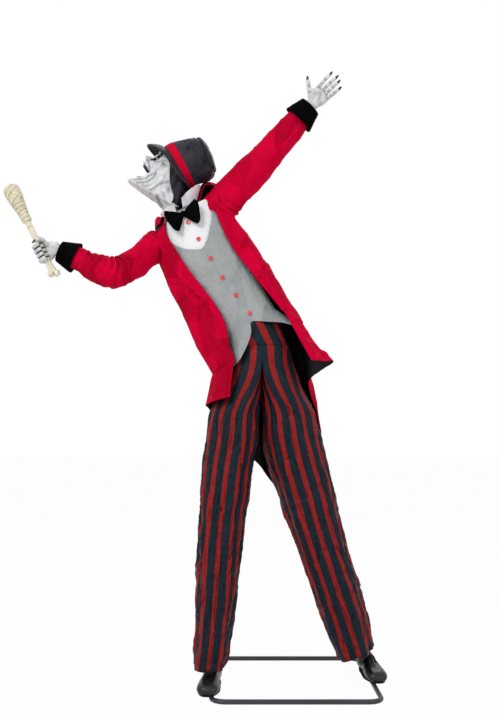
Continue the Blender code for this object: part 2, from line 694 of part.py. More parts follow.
def make_shoulder_bar(steel):
    """The cross tube that carries both arms. Its clamp block sits round the spine tube."""
    reach = TO_LEFT * SHOULDER_HALF_WIDTH
    clamp_bore = SPINE_TUBE / 2 + PLUG_CLEARANCE
    end = SHOULDERS + reach
    flat = end - TO_LEFT * 0.020
    bar = piece("shoulder_bar", rod(SHOULDERS - reach, flat, SHOULDER_TUBE / 2), "torso", steel)
    fuse(bar, block((0.030, 0.032, 0.044), SHOULDERS, SPINE, TO_LEFT), "torso")
    cut(bar, rod(SHOULDERS - SPINE * 0.03, SHOULDERS + SPINE * 0.03, clamp_bore, 14), "torso")
    fuse(bar, lug(-PLATE / 2, flat - TO_LEFT * 0.010, end, 0.009, EAR_RADIUS, 0, PIN_HOLE), "torso")


CONTROL_BOX = (0.090, 0.060, 0.036)
CONTROL_DISTANCE = 0.300
SWITCH_TRAVEL = 0.003
SPEAKER_SLOT = (0.036, 0.003, 0.006)
SPEAKER_SLOT_PITCH = 0.008
SPEAKER_ASIDE = 0.018


def make_control_box(plastic):
    """The control box sits on the back of the spine: speaker slots, power inlet and a slide switch."""
    wide, tall, deep = CONTROL_BOX
    front_y = SPINE_TUBE / 2 + PLUG_CLEARANCE
    middle = WAIST + SPINE * CONTROL_DISTANCE - FRONT * (front_y + deep / 2)
    rear = middle - FRONT * deep / 2
    case = block((wide, tall, deep), middle, -FRONT, TO_LEFT, bevel=0.004)
    box = piece("control_box", case, "torso", plastic)
    for i in range(-2, 3):
        slot_at = rear - TO_LEFT * SPEAKER_ASIDE + SPINE * SPEAKER_SLOT_PITCH * i
        cut(box, block(SPEAKER_SLOT, slot_at, -FRONT, TO_LEFT), "torso")
    switch_at = rear + TO_LEFT * 0.026 + SPINE * 0.012
    knob = (0.007, 0.006, 0.0075)
    slot = (knob[0] + SWITCH_TRAVEL + 2 * RUNNING_CLEARANCE, knob[1] + 2 * RUNNING_CLEARANCE, 0.010)
    cut(box, block(slot, switch_at + TO_LEFT * SWITCH_TRAVEL / 2, -FRONT, TO_LEFT), "torso")
    knob_at = switch_at + FRONT * (0.005 - RUNNING_CLEARANCE - knob[2] / 2)
    body("power_switch", switch_at, "torso")
    piece("power_switch_knob", block(knob, knob_at, -FRONT, TO_LEFT, bevel=0.001), "power_switch", plastic)
    inlet_at = rear + TO_LEFT * 0.026 - SPINE * 0.014
    cut(box, rod(inlet_at + FRONT * 0.012, inlet_at - FRONT * 0.004, 0.0078), "torso")
    inlet = pipe(inlet_at + FRONT * 0.0117, inlet_at - FRONT * 0.001, 0.0075, 0.0052)
    piece("power_inlet", inlet, "torso", plastic)


# Clothes on the torso

SHIRT_OFF = CLOTH_GAP + SHIRT_WALL
VEST_OFF = SHIRT_OFF + CLOTH_GAP + VEST_WALL
VEST_RIGHT_HEM = ((0, 0.089), (9, 0.050), (36, -0.005), (55, -0.020), (80, -0.010), (100, 0.030))
VEST_LEFT_HEM = ((0, 0.089), (8, 0.084), (28, 0.050), (48, 0.016), (60, -0.014), (72, -0.010), (100, 0.040))
VEST_RIGHT_TOP = (
    (0, 0.430), (8, 0.433), (27, 0.468), (38, 0.505), (50, 0.552), (66, 0.580), (82, 0.545), (100, 0.500),
)
VEST_LEFT_TOP = ((0, 0.430), (12, 0.452), (31, 0.500), (54, 0.550), (70, 0.580), (84, 0.545), (100, 0.500))
VEST_SPREAD = 0.38
SHIRT_SIDE = 70
# The collar's rows up the neck: distance above the waist, flare and shift to the figure's left
COLLAR_ROWS = ((FORM_TOP + 0.0005, -0.0005, 0.0), (0.630, 0.003, 0.004), (0.648, 0.006, 0.010))
SHIRT_BUTTONS = ((0.546, 0), (0.468, 0))
VEST_BUTTONS = ((0.379, 0), (0.292, 0), (0.207, 4), (0.119, 8))


def make_waistband(cloth):
    """The soft waistband, from the top of the trousers up over the bottom of the chest form."""
    z, x, y, half, depth = SEAT[0]
    levels = (0.0, FORM_BOTTOM - 0.006, FORM_BOTTOM + 0.018)
    outer, inner = [], []
    for distance in levels:
        centre = WAIST + SPINE * distance if distance else Vector((x, y, z + SEAT_GAP))
        row = []
        for k in range(360 // COLUMN):
            t = radians(COLUMN * k)
            if distance:
                row.append(torso_point(distance, COLUMN * k, CLOTH_GAP + TROUSER_WALL))
            else:
                row.append(centre + Vector((half * sin(t), -depth * cos(t), 0)))
        outer.append(row)
        inner.append([p - (p - centre).normalized() * TROUSER_WALL for p in row])
    piece("waistband", ring_skin(outer + inner[::-1]), "torso", cloth)


def make_shirt(cloth):
    """The shirt front shows in the neck of the vest. A stand-up collar rests on the chest form's rim."""
    sheet = torso_sheet(-SHIRT_SIDE, SHIRT_SIDE, 7, lambda a: 0.360, lambda a: 0.600, lambda d: SHIRT_OFF)
    thicken(piece("shirt_front", sheet, "torso", cloth), SHIRT_WALL)
    rows = []
    for distance, grow, shift in COLLAR_ROWS:
        row = []
        for k in range(25):
            angle = 14 + 332 * k / 24
            row.append(torso_point(FORM_TOP, angle, grow) + SPINE * (distance - FORM_TOP) + TO_LEFT * shift)
        rows.append(row)
    thicken(piece("shirt_collar", skin(rows), "torso", cloth), VEST_WALL)


def make_vest(cloth):
    """The waistcoat: a V neck, armholes, and two points that hang below the waist."""

    def off(distance):
        return VEST_OFF + VEST_SPREAD * max(0.0, 0.085 - distance) + 0.05 * max(0.0, distance - 0.46)

    def hem(angle):
        return between(VEST_LEFT_HEM if angle > 0 else VEST_RIGHT_HEM, abs(angle))

    def top(angle):
        return between(VEST_LEFT_TOP if angle > 0 else VEST_RIGHT_TOP, abs(angle))

    sheet = torso_sheet(-100, 100, 11, hem, top, off)
    thicken(piece("vest", sheet, "torso", cloth), VEST_WALL)


def make_buttons(red):
    for names, places, off in (("shirt", SHIRT_BUTTONS, SHIRT_OFF), ("vest", VEST_BUTTONS, VEST_OFF)):
        for number, (distance, angle) in enumerate(places, 1):
            at = torso_point(distance, angle, off + PLUG_CLEARANCE)
            sideways = torso_point(distance, angle + 1, off) - torso_point(distance, angle - 1, off)
            upwards = torso_point(distance + 0.01, angle, off) - torso_point(distance - 0.01, angle, off)
            out = sideways.cross(upwards)
            r = BUTTON_RADIUS
            profile = [(0, 0), (r * 0.9, 0), (r, 0.0012), (r * 0.8, 0.0032), (0, 0.0042)]
            piece(f"{names}_button_{number}", turned(profile, at, out), "torso", red)


# The coat, by distance above the waist. Below the waist a height of -0.2 is the hem.
COAT_HALF_WIDTH = (
    (0.0, 0.190), (0.14, 0.186), (0.35, 0.188), (0.45, 0.180),
    (0.54, 0.154), (0.585, 0.121), (0.622, 0.0790),
)
COAT_HALF_DEPTH = (
    (0.0, 0.122), (0.14, 0.104), (0.35, 0.106), (0.45, 0.112),
    (0.54, 0.111), (0.585, 0.105), (0.622, 0.0788),
)
COAT_RIGHT_EXTRA = ((0.0, 0.038), (0.16, 0.040), (0.30, 0.012), (0.45, 0.0))
COAT_RIGHT_EDGE = (
    (-0.2, -42), (-0.05, -38), (0.065, -33), (0.134, -26),
    (0.23, -25), (0.37, -31), (0.515, -38), (0.622, -52),
)
COAT_LEFT_EDGE = ((-0.2, 38), (-0.04, 46), (0.057, 52), (0.23, 40), (0.375, 31), (0.55, 40), (0.622, 60))
# The hem, by angle: where it hangs across, in depth and in height, from the middle of the base frame
COAT_HEM = (
    (38, 0.064, -0.156, 1.272), (52, 0.118, -0.138, 1.270), (66, 0.164, -0.092, 1.270),
    (80, 0.064, -0.026, 1.200), (92, 0.108, 0.036, 1.080), (102, 0.126, 0.070, 0.985),
    (116, 0.104, 0.114, 0.905), (140, 0.030, 0.142, 0.800), (165, -0.050, 0.162, 0.770),
    (195, -0.135, 0.164, 0.870), (225, -0.218, 0.142, 0.935), (250, -0.290, 0.094, 1.020),
    (268, -0.330, 0.030, 1.095), (285, -0.334, -0.040, 1.108), (300, -0.318, -0.096, 1.112),
    (318, -0.247, -0.156, 1.134),
)
COAT_ROWS = (
    -0.2, -0.16, -0.12, -0.08, -0.04, 0.0, 0.06, 0.13, 0.21, 0.29, 0.37, 0.44, 0.50, 0.545, 0.585, 0.622,
)
COAT_COLUMNS = 26


def coat_point(height, degrees):
    """A point of the coat. Above the waist it follows the torso, and below it hangs straight down."""
    angle = radians(degrees)
    distance = max(0.0, height)
    half, depth = between(COAT_HALF_WIDTH, distance), between(COAT_HALF_DEPTH, distance)
    half += between(COAT_RIGHT_EXTRA, distance) * max(0.0, -sin(angle))
    worn = WAIST + SPINE * distance + TO_LEFT * half * sin(angle) + FRONT * depth * cos(angle)
    if height >= 0:
        return worn
    hem = Vector([between([(row[0], row[k]) for row in COAT_HEM], degrees) for k in (1, 2, 3)])
    return worn.lerp(hem, -height / 0.2)


def make_coat(cloth, roots):
    """The tailcoat: open down the front, with long tails behind and an armhole round each sleeve."""
    rows = []
    for height in COAT_ROWS:
        right, left = between(COAT_RIGHT_EDGE, height) + 360, between(COAT_LEFT_EDGE, height)
        rows.append([
            coat_point(height, left + (right - left) * c / COAT_COLUMNS) for c in range(COAT_COLUMNS + 1)
        ])
    coat = thicken(piece("coat", skin(rows), "torso", cloth), COAT_WALL)
    for start, end, radius in roots:
        cut(coat, rod(start, end, radius + SEAT_GAP, CLOTH_SIDES, FRONT), "torso")


BOW_DISTANCE = 0.584
BOW_KNOT = 0.0105
BOW_WING = ((0.003, 0.012, 0.006), (0.025, 0.028, 0.008), (0.050, 0.044, 0.009), (0.066, 0.050, 0.006))
BOW_RIGHT_DROP = radians(-4)
BOW_LEFT_DROP = radians(24)


def make_bow_tie(cloth):
    """A big bow: two wings that widen outwards from a knot, and lean back at the top like the chest."""
    at = torso_point(BOW_DISTANCE, 0, SHIRT_OFF) + FRONT * (BOW_KNOT + 2 * PLUG_CLEARANCE)
    bow = piece("bow_tie", ball(at, BOW_KNOT), "torso", cloth)
    for side, drop in ((-1, BOW_RIGHT_DROP), (1, BOW_LEFT_DROP)):
        outwards = (TO_LEFT * cos(drop) - SPINE * sin(drop)) * side
        upwards = SPINE * cos(drop) + TO_LEFT * sin(drop)
        path = [at + (outwards + FRONT * 0.22) * out for out, _, _ in BOW_WING]
        sizes = [(tall, thick) for _, tall, thick in BOW_WING]
        fuse(bow, limb(path, sizes, upwards - FRONT * 0.15), "torso")


# Head, jaw and hat. Places in the head are forward along the face, towards the viewer's side, and up


def in_head(forward, side, up):
    return NECK + FACE * forward + FRONT * side + CROWN * up


HEAD_MIDDLE = 0.055
FACE_REACH = (
    (-0.05, 0.120), (-0.01, 0.166), (0.004, 0.170), (0.018, 0.166), (0.034, 0.158), (0.061, 0.154),
    (0.085, 0.158), (0.105, 0.1575), (0.130, 0.148), (0.150, 0.110),
)
BACK_REACH = ((-0.05, 0.040), (0.02, 0.062), (0.07, 0.070), (0.11, 0.068), (0.13, 0.062), (0.150, 0.040))
HEAD_HALF_WIDTH = (
    (-0.05, 0.059), (-0.01, 0.066), (0.02, 0.070), (0.05, 0.076),
    (0.085, 0.078), (0.11, 0.075), (0.13, 0.068), (0.15, 0.045),
)


def head_point(degrees, up, off, features=False):
    """A point on the head. Angle 0 is the face, and 90 is the side towards the viewer."""
    angle = radians(degrees)
    reach = between(FACE_REACH, up) - HEAD_MIDDLE if cos(angle) > 0 else between(BACK_REACH, up)
    forward = HEAD_MIDDLE + (reach + off) * cos(angle)
    side = (between(HEAD_HALF_WIDTH, up) + off) * sin(angle)
    if features and cos(angle) > 0:
        nose = 0.024 * exp(-((side / 0.012) ** 2) - ((up - 0.033) / 0.014) ** 2)
        bridge = 0.008 * exp(-((side / 0.010) ** 2) - ((up - 0.058) / 0.018) ** 2)
        socket = -0.016 * exp(-(((abs(side) - 0.031) / 0.014) ** 2) - ((up - 0.062) / 0.013) ** 2)
        cheek = 0.007 * exp(-(((abs(side) - 0.048) / 0.015) ** 2) - ((up - 0.032) / 0.014) ** 2)
        brow = 0.007 * exp(-(((abs(side) - 0.030) / 0.022) ** 2) - ((up - 0.086) / 0.009) ** 2)
        forward += nose + bridge + socket + cheek + brow
    return in_head(forward, side, up)


MASK_LOWER_EDGE = ((0, 0.000), (35, -0.004), (60, -0.014), (80, -0.036), (100, -0.046))
MASK_SIDE = 100
MASK_ROWS = 11
MASK_COLUMNS = 20
MASK_UPPER_EDGE = ((0, 0.096), (40, 0.091), (70, 0.083), (100, 0.074))
EYE_AT = (0.131, 0.031, 0.062)
PALATE = (0.060, 0.056, 0.004)
PALATE_FORWARD = 0.118
PALATE_UP = 0.0185
POST_TOP = 0.1485
SKULL_SIDES = 16
SKULL_INSET = 0.0042
SKULL_FACE_INSET = 0.022


def make_mask(latex):
    """The latex face, from under the hat to the upper lip, with an eye hole each side of the nose."""
    rows = []
    for r in range(MASK_ROWS + 1):
        row = []
        for c in range(MASK_COLUMNS + 1):
            angle = -MASK_SIDE + 2 * MASK_SIDE * c / MASK_COLUMNS
            low = between(MASK_LOWER_EDGE, abs(angle))
            high = between(MASK_UPPER_EDGE, abs(angle))
            row.append(head_point(angle, low + (high - low) * r / MASK_ROWS, 0.0, features=True))
        rows.append(row)
    mask = thicken(piece("mask", skin(rows), "head", latex), MASK_WALL)
    for side in (-1, 1):
        forward, beside, up = EYE_AT
        cut(mask, ball(in_head(forward, side * beside, up), EYE_RADIUS + PLUG_CLEARANCE), "head")


# The hat, by height above the top of the brim: radius towards the face, and how far its middle leans back
HAT_PROFILE = (
    (-0.016, 0.0935, 0.0), (0.000, 0.0935, 0.0), (0.034, 0.0950, 0.003), (0.068, 0.0980, 0.010),
    (0.100, 0.0920, 0.016), (0.1286, 0.0740, 0.014), (0.1430, 0.0420, 0.002),
)
HAT_AXIS = CROWN * cos(HAT_LEAN) - FACE * sin(HAT_LEAN)
HAT_FRONT = FACE * cos(HAT_LEAN) + CROWN * sin(HAT_LEAN)
HAT_AT = NECK + FACE * HAT_FORWARD + CROWN * HAT_RISE


def make_skull(plastic):
    """The skull cap with its palate plate, on a post that ends in the neck hub."""
    rows = []
    for up in (0.018, 0.050, 0.082, 0.112, 0.136, 0.150):
        row = []
        for k in range(SKULL_SIDES):
            angle = 360 * k / SKULL_SIDES
            face = max(0.0, cos(radians(angle))) ** 2
            row.append(head_point(angle, up, -SKULL_INSET - SKULL_FACE_INSET * face))
        rows.append(row)
    cap = skin(rows, around=True)
    cap.verts.ensure_lookup_table()
    cap.faces.new(cap.verts[-SKULL_SIDES:])
    hub_half = EAR_GAP / 2 - RUNNING_CLEARANCE
    skull = piece("skull", cap, "head", plastic)
    thicken(skull, SKULL_WALL)
    for side in (-1, 1):
        forward, beside, up = EYE_AT
        cut(skull, ball(in_head(forward, side * beside, up), EYE_RADIUS + PLUG_CLEARANCE), "head")
    cut(skull, rod(NECK - FRONT * 0.08, NECK + FRONT * 0.08, 0.031), "head")
    wide, deep, thick = PALATE
    fuse(skull, block((deep, wide, thick), in_head(PALATE_FORWARD, 0, PALATE_UP), CROWN, FACE), "head")
    stem = in_head(0.060, 0, POST_TOP)
    hat_height = HAT_PROFILE[-1][0] - HAT_WALL - PLUG_CLEARANCE
    fuse(skull, rod(in_head(0.004, 0, 0.008), stem, 0.008), "head")
    fuse(skull, rod(stem - CROWN * 0.004, HAT_AT + HAT_AXIS * hat_height, 0.0075, 14), "head")
    fuse(skull, rod(NECK - FRONT * hub_half, NECK + FRONT * hub_half, 0.012), "head")
    cut(skull, rod(NECK - FRONT * 0.03, NECK + FRONT * 0.03, PIN_HOLE, 10), "head")


def make_eyes(lens):
    for side, name in ((1, "right_eye"), (-1, "left_eye")):
        forward, beside, up = EYE_AT
        piece(name, ball(in_head(forward, side * beside, up), EYE_RADIUS), "head", lens)


TOOTH_HALF_HEIGHT = 0.0065
TOOTH_HALF_THICKNESS = 0.0038
LOWER_TOOTH_HALF_HEIGHT = 0.0070
UPPER_TEETH_UP = PALATE_UP - PALATE[2] / 2 - TOOTH_HALF_HEIGHT - PLUG_CLEARANCE
UPPER_TEETH_ROW = (
    (0.100, 0.033), (0.128, 0.031), (0.148, 0.022), (0.1565, 0.008),
    (0.1565, -0.008), (0.148, -0.022), (0.128, -0.031), (0.100, -0.033),
)
JAW_PATH = (
    (0.050, 0.018, 0.045), (0.064, -0.020, 0.044), (0.086, -0.050, 0.040),
    (0.112, -0.071, 0.032), (0.132, -0.086, 0.017), (0.139, -0.091, 0.0),
)
JAW_SIZES = ((0.010, 0.005), (0.012, 0.005), (0.016, 0.006), (0.019, 0.008), (0.021, 0.010), (0.021, 0.011))
LOWER_TEETH_PATH = (
    (0.092, -0.031, 0.036), (0.112, -0.045, 0.030), (0.127, -0.056, 0.018), (0.132, -0.060, 0.0),
)


def mirrored(half):
    """A path from the viewer's side round to the far side, from points that end on the middle."""
    return list(half) + [(f, u, -s) for f, u, s in reversed(half[:-1])]


def make_teeth_and_jaw(bone, latex):
    """The upper teeth hang under the palate. The lower ones sit in the jaw, on its motor's shaft."""
    path = [in_head(f, s, UPPER_TEETH_UP) for f, s in UPPER_TEETH_ROW]
    tooth = (TOOTH_HALF_HEIGHT, TOOTH_HALF_THICKNESS)
    piece("upper_teeth", limb(path, [tooth] * len(path), CROWN, 8), "head", bone)
    path = [in_head(f, s, u) for f, u, s in mirrored(JAW_PATH)]
    sizes = list(JAW_SIZES) + list(reversed(JAW_SIZES[:-1]))
    jaw = piece("jaw", limb(path, sizes, CROWN - FACE * 0.6, 10), "jaw", latex)
    out = FRONT * (JAW_ARM_SPACING / 2 + 0.02)
    cut(jaw, rod(JAW - out, JAW + out, PIN_HOLE, 10), "jaw")
    path = [in_head(f, s, u) for f, u, s in mirrored(LOWER_TEETH_PATH)]
    tooth = Vector((LOWER_TOOTH_HALF_HEIGHT, TOOTH_HALF_THICKNESS))
    groove = tooth + Vector((PLUG_CLEARANCE, PLUG_CLEARANCE))
    upwards = CROWN - FACE * 0.4
    cut(jaw, limb(path, [groove] * len(path), upwards, 8), "jaw")
    piece("lower_teeth", limb(path, [tooth] * len(path), upwards, 8), "jaw", bone)


def make_jaw_motor(plastic):
    """The jaw motor is screwed to the post, and its cross shaft carries both arms of the jaw."""
    box = block((0.0430, 0.036, 0.036), JAW - FACE * 0.0055, CROWN, FACE, bevel=0.002)
    motor = piece("jaw_motor", box, "head", plastic)
    out = FRONT * (JAW_ARM_SPACING / 2 + 0.0075)
    fuse(motor, rod(JAW - out, JAW + out, BOLT_RADIUS, 10), "head")


HAT_SIDES = 20
BAND_FOOT = -0.004
BAND_TAPER = 0.0016
BAND_WALL = 0.0014
BAND_LEAN = 0.002
BRIM_SEAT = -0.012
BRIM_THICKNESS = 0.003
BRIM_FRONT_DROP = 0.050
BRIM_BACK_LIFT = 0.018


def hat_ring(height, radius, back, lift=lambda t: 0.0):
    turn = [2 * pi * k / HAT_SIDES for k in range(HAT_SIDES)]
    return [
        HAT_AT + HAT_AXIS * (height + lift(t)) + HAT_FRONT * (radius * cos(t) - back)
        + FRONT * HAT_NARROW * radius * sin(t)
        for t in turn
    ]


def make_hat(satin, ribbon):
    """A soft top hat: a crown that leans back, a ribbon band, and a brim that droops over the face."""
    rows = [hat_ring(h, r, back) for h, r, back in HAT_PROFILE]
    shell = skin([list(reversed(row)) for row in rows], around=True)
    shell.verts.ensure_lookup_table()
    shell.faces.new(shell.verts[-HAT_SIDES:])
    bmesh.ops.recalc_face_normals(shell, faces=shell.faces)
    thicken(piece("hat_crown", shell, "head", satin), HAT_WALL)
    seat = HAT_PROFILE[0][1] + PLUG_CLEARANCE
    band = []
    low, high = BAND_FOOT, BAND_FOOT + BAND_HEIGHT
    for height, grow in ((low, 0), (high, BAND_TAPER), (high, BAND_TAPER + BAND_WALL), (low, BAND_WALL)):
        band.append(hat_ring(height, seat + RUNNING_CLEARANCE + grow, BAND_LEAN * (height > 0)))
    piece("hat_band", ring_skin(band), "head", ribbon)

    def droop(share):
        def lift(t):
            front, back = max(0.0, cos(t)), max(0.0, -cos(t))
            return share**1.5 * (BRIM_BACK_LIFT * back - BRIM_FRONT_DROP * front**2)

        return lift

    top, bottom = [], []
    for share in (0.0, 0.5, 1.0):
        radius = seat + BRIM_WIDTH * share
        top.append(hat_ring(BRIM_SEAT + BRIM_THICKNESS, radius, 0, droop(share)))
        bottom.append(hat_ring(BRIM_SEAT, radius, 0, droop(share)))
    piece("hat_brim", ring_skin(top + bottom[::-1]), "head", satin)


HOOD_EDGE = (
    (74, 0.083, 0.0762, 0.078), (92, 0.050, 0.0785, 0.050), (112, 0.022, 0.074, 0.026),
    (135, -0.028, 0.064, 0.004), (155, -0.064, 0.050, -0.002),
    (168, -0.070, 0.030, 0.026), (180, -0.070, 0.000, 0.042),
)
HOOD_START = 74
HOOD_OFF = 0.0024
HOOD_COLUMNS = 20
HOOD_TOP = ((74, 0.081), (90, 0.075), (135, 0.065), (180, 0.061))


def make_hood(cloth):
    """The cloth hood behind the face: it hangs from under the hat down the nape and into the collar."""
    rows = []
    for share in (0.0, 0.35, 0.7, 1.0):
        row = []
        for c in range(HOOD_COLUMNS + 1):
            angle = HOOD_START + 2 * (180 - HOOD_START) * c / HOOD_COLUMNS
            mirror, side = (angle, 1) if angle <= 180 else (360 - angle, -1)
            ahead, beside, up = (between([(e[0], e[k]) for e in HOOD_EDGE], mirror) for k in (1, 2, 3))
            top = head_point(angle, between(HOOD_TOP, mirror), HOOD_OFF)
            row.append(top.lerp(in_head(ahead, side * beside, up), share))
        rows.append(list(reversed(row)))
    thicken(piece("hood", skin(rows[::-1]), "head", cloth), SHIRT_WALL)


THROAT_TOP = 0.026
THROAT_BOTTOM = ((0, -0.014), (40, -0.034), (85, -0.062))


def make_throat(latex):
    """The latex throat below the jaw, tucked into the collar."""
    rows = []
    for share in (0.0, 0.5, 1.0):
        row = []
        for c in range(13):
            angle = -85 + 170 * c / 12
            low = between(THROAT_BOTTOM, abs(angle))
            t = radians(angle)
            row.append(in_head(low + (THROAT_TOP - low) * share, 0.064 * sin(t), -0.061 * cos(t)))
        rows.append(row)
    thicken(piece("throat", skin(rows), "torso", latex), MASK_WALL)


# Arms, hands and torch

UPPER_ARM = (ELBOW - RIGHT_SHOULDER).normalized()
FOREARM = (RIGHT_WRIST - ELBOW).normalized()
ELBOW_TURN = (UPPER_ARM + FOREARM).normalized()
LEFT_ARM = (LEFT_WRIST - LEFT_SHOULDER).normalized()
HAND_SOCKET = 0.030
RIGHT_SLEEVE_ROOT = 0.057
LEFT_SLEEVE_ROOT = 0.068
RIGHT_SLEEVE_START = 0.014
LEFT_SLEEVE_START = -0.021
MITRE = 0.042
RIGHT_SLEEVE_END = 0.040
LEFT_SLEEVE_END = 0.043
ELBOW_MOTOR_SIZE = (0.030, 0.022, 0.012)
ELBOW_MOTOR_CAN = (0.009, 0.010)
CUFF_LENGTH = 0.064
CUFF_FLARE = 0.018


def make_right_arm(steel, plastic):
    """The upper arm is clamped to the shoulder bar, and its forked end carries the motor and the forearm."""
    root = ELBOW - UPPER_ARM * 0.030
    tube = rod(RIGHT_SHOULDER + TO_LEFT * 0.010, root, ARM_TUBE / 2)
    upper = piece("right_upper_arm_tube", tube, "torso", steel)
    clamp_in, clamp_out = RIGHT_SHOULDER + TO_LEFT * 0.026, RIGHT_SHOULDER - TO_LEFT * 0.006
    fuse(upper, rod(clamp_in, clamp_out, SHOULDER_TUBE / 2 + 0.0034, 14), "torso")
    bore_end = RIGHT_SHOULDER - TO_LEFT * 0.0004
    cut(upper, rod(clamp_in + TO_LEFT * 0.01, bore_end, SHOULDER_TUBE / 2 + PLUG_CLEARANCE, 14), "torso")
    flat_root = Vector((root.x, ELBOW.y, root.z))
    for side in (-1, 1):
        ear_at = ELBOW.y + side * (ELBOW_GAP + PLATE) / 2 - PLATE / 2
        fuse(upper, lug(ear_at, flat_root, ELBOW, 0.010, 0.010, 0, PIN_HOLE), "torso")
    front_y, back_y = ELBOW.y - ELBOW_GAP / 2 - PLATE, root.y + 0.003
    bridge_at = Vector((root.x, (front_y + back_y) / 2, root.z))
    fuse(upper, block((0.019, back_y - front_y, 0.012), bridge_at, ELBOW - flat_root, UP), "torso")
    shaft_end = ELBOW + FRONT * (ELBOW_GAP / 2 + PLATE)
    reach = ELBOW_GAP + 2 * PLATE + MOTOR_GAP
    size, can = ELBOW_MOTOR_SIZE, ELBOW_MOTOR_CAN
    gearmotor("elbow_motor", shaft_end, FRONT, ACROSS, size, reach, can, "torso", plastic)
    hub_half = ELBOW_GAP / 2 - RUNNING_CLEARANCE
    hub = rod(ELBOW - FRONT * hub_half, ELBOW + FRONT * hub_half, 0.009)
    forearm = piece("right_forearm_tube", hub, "right_forearm", steel)
    tube = rod(ELBOW + FOREARM * 0.004, RIGHT_WRIST + FOREARM * HAND_SOCKET, ARM_TUBE / 2)
    fuse(forearm, tube, "right_forearm")
    cut(forearm, rod(ELBOW - FRONT * 0.02, ELBOW + FRONT * 0.02, PIN_HOLE, 10), "right_forearm")


def make_left_arm(steel):
    """The raised arm hangs on one bolt with a wing nut, so that it can be set to another height."""
    front_y = -PLATE / 2 - RUNNING_CLEARANCE * 2 - PLATE
    start = LEFT_SHOULDER + Vector((LEFT_ARM.x, 0, LEFT_ARM.z)) * 0.034
    start.y = front_y + PLATE / 2
    tube = rod(start, LEFT_WRIST + LEFT_ARM * HAND_SOCKET, ARM_TUBE / 2)
    arm = piece("left_arm_tube", tube, "left_arm", steel)
    eye = lug(front_y, start + LEFT_ARM * 0.02, LEFT_SHOULDER, 0.0075, EAR_RADIUS, 0, PIN_HOLE)
    fuse(arm, eye, "left_arm")
    front = LEFT_SHOULDER + FRONT * (0.0004 - front_y)
    back = LEFT_SHOULDER - FRONT * (PLATE / 2 + 0.0004)
    bolt_ends = (front + FRONT * PLATE / 2, back - FRONT * 0.010)
    bolt = piece("shoulder_bolt", rod(*bolt_ends, BOLT_RADIUS, 10), "torso", steel)
    fuse(bolt, rod(front, front + FRONT * PLATE, 0.009, 6), "torso")
    fuse(bolt, rod(back, back - FRONT * 0.006, 0.0075), "torso")
    fuse(bolt, block((0.028, 0.004, 0.010), back - FRONT * 0.007, FRONT, ACROSS, bevel=0.001), "torso")


def make_sleeves(cloth, velvet):
    """The coat's sleeves, and the wide velvet cuffs that are turned back over their ends."""
    near, gap = RIGHT_SHOULDER + UPPER_ARM * RIGHT_SLEEVE_START, ELBOW_TURN * 0.0005
    above, below = ELBOW - UPPER_ARM * MITRE, ELBOW + FOREARM * MITRE
    path = [near, near.lerp(above, 0.35), near.lerp(above, 0.70), above, ELBOW - gap]
    radii = (RIGHT_SLEEVE_ROOT, 0.057, 0.055, 0.055, 0.056)
    piece("right_upper_sleeve", cloth_tube(path, radii, SLEEVE_WALL, after=below), "torso", cloth)
    end = RIGHT_WRIST - FOREARM * 0.004
    path = [ELBOW + gap] + [below.lerp(end, s) for s in (0, 0.2, 0.4, 0.6, 0.8, 1.0)]
    radii = (0.056, 0.056, 0.055, 0.052, 0.048, 0.044, RIGHT_SLEEVE_END)
    lower = cloth_tube(path, radii, SLEEVE_WALL, before=above)
    piece("right_lower_sleeve", lower, "right_forearm", cloth)
    make_cuff("right_cuff", end, -FOREARM, RIGHT_SLEEVE_END, "right_forearm", velvet)
    start, end = LEFT_SHOULDER + LEFT_ARM * LEFT_SLEEVE_START, LEFT_WRIST - LEFT_ARM * 0.010
    path = [start.lerp(end, s) for s in (0, 0.16, 0.30, 0.44, 0.58, 0.72, 0.86, 1.0)]
    radii = (LEFT_SLEEVE_ROOT, LEFT_SLEEVE_ROOT, 0.066, 0.063, 0.058, 0.053, 0.048, LEFT_SLEEVE_END)
    piece("left_sleeve", cloth_tube(path, radii, SLEEVE_WALL), "left_arm", cloth)
    make_cuff("left_cuff", end, -LEFT_ARM, LEFT_SLEEVE_END, "left_arm", velvet)


def make_cuff(name, end, back, sleeve_radius, on, velvet):
    """A cuff that flares from the end of its sleeve towards the elbow."""
    near = sleeve_radius + PLUG_CLEARANCE
    far = near + SLEEVE_WALL
    profile = [(near, 0), (far, 0), (far + CUFF_FLARE, CUFF_LENGTH), (near + CUFF_FLARE, CUFF_LENGTH)]
    piece(name, turned(profile, end, back, CLOTH_SIDES, FRONT), on, velvet)


def fingers(obj, tracks, on, sides=8):
    for path, sizes in tracks:
        fuse(obj, limb(path, [(s, s) for s in sizes], FRONT + UP * 0.01, sides), on)


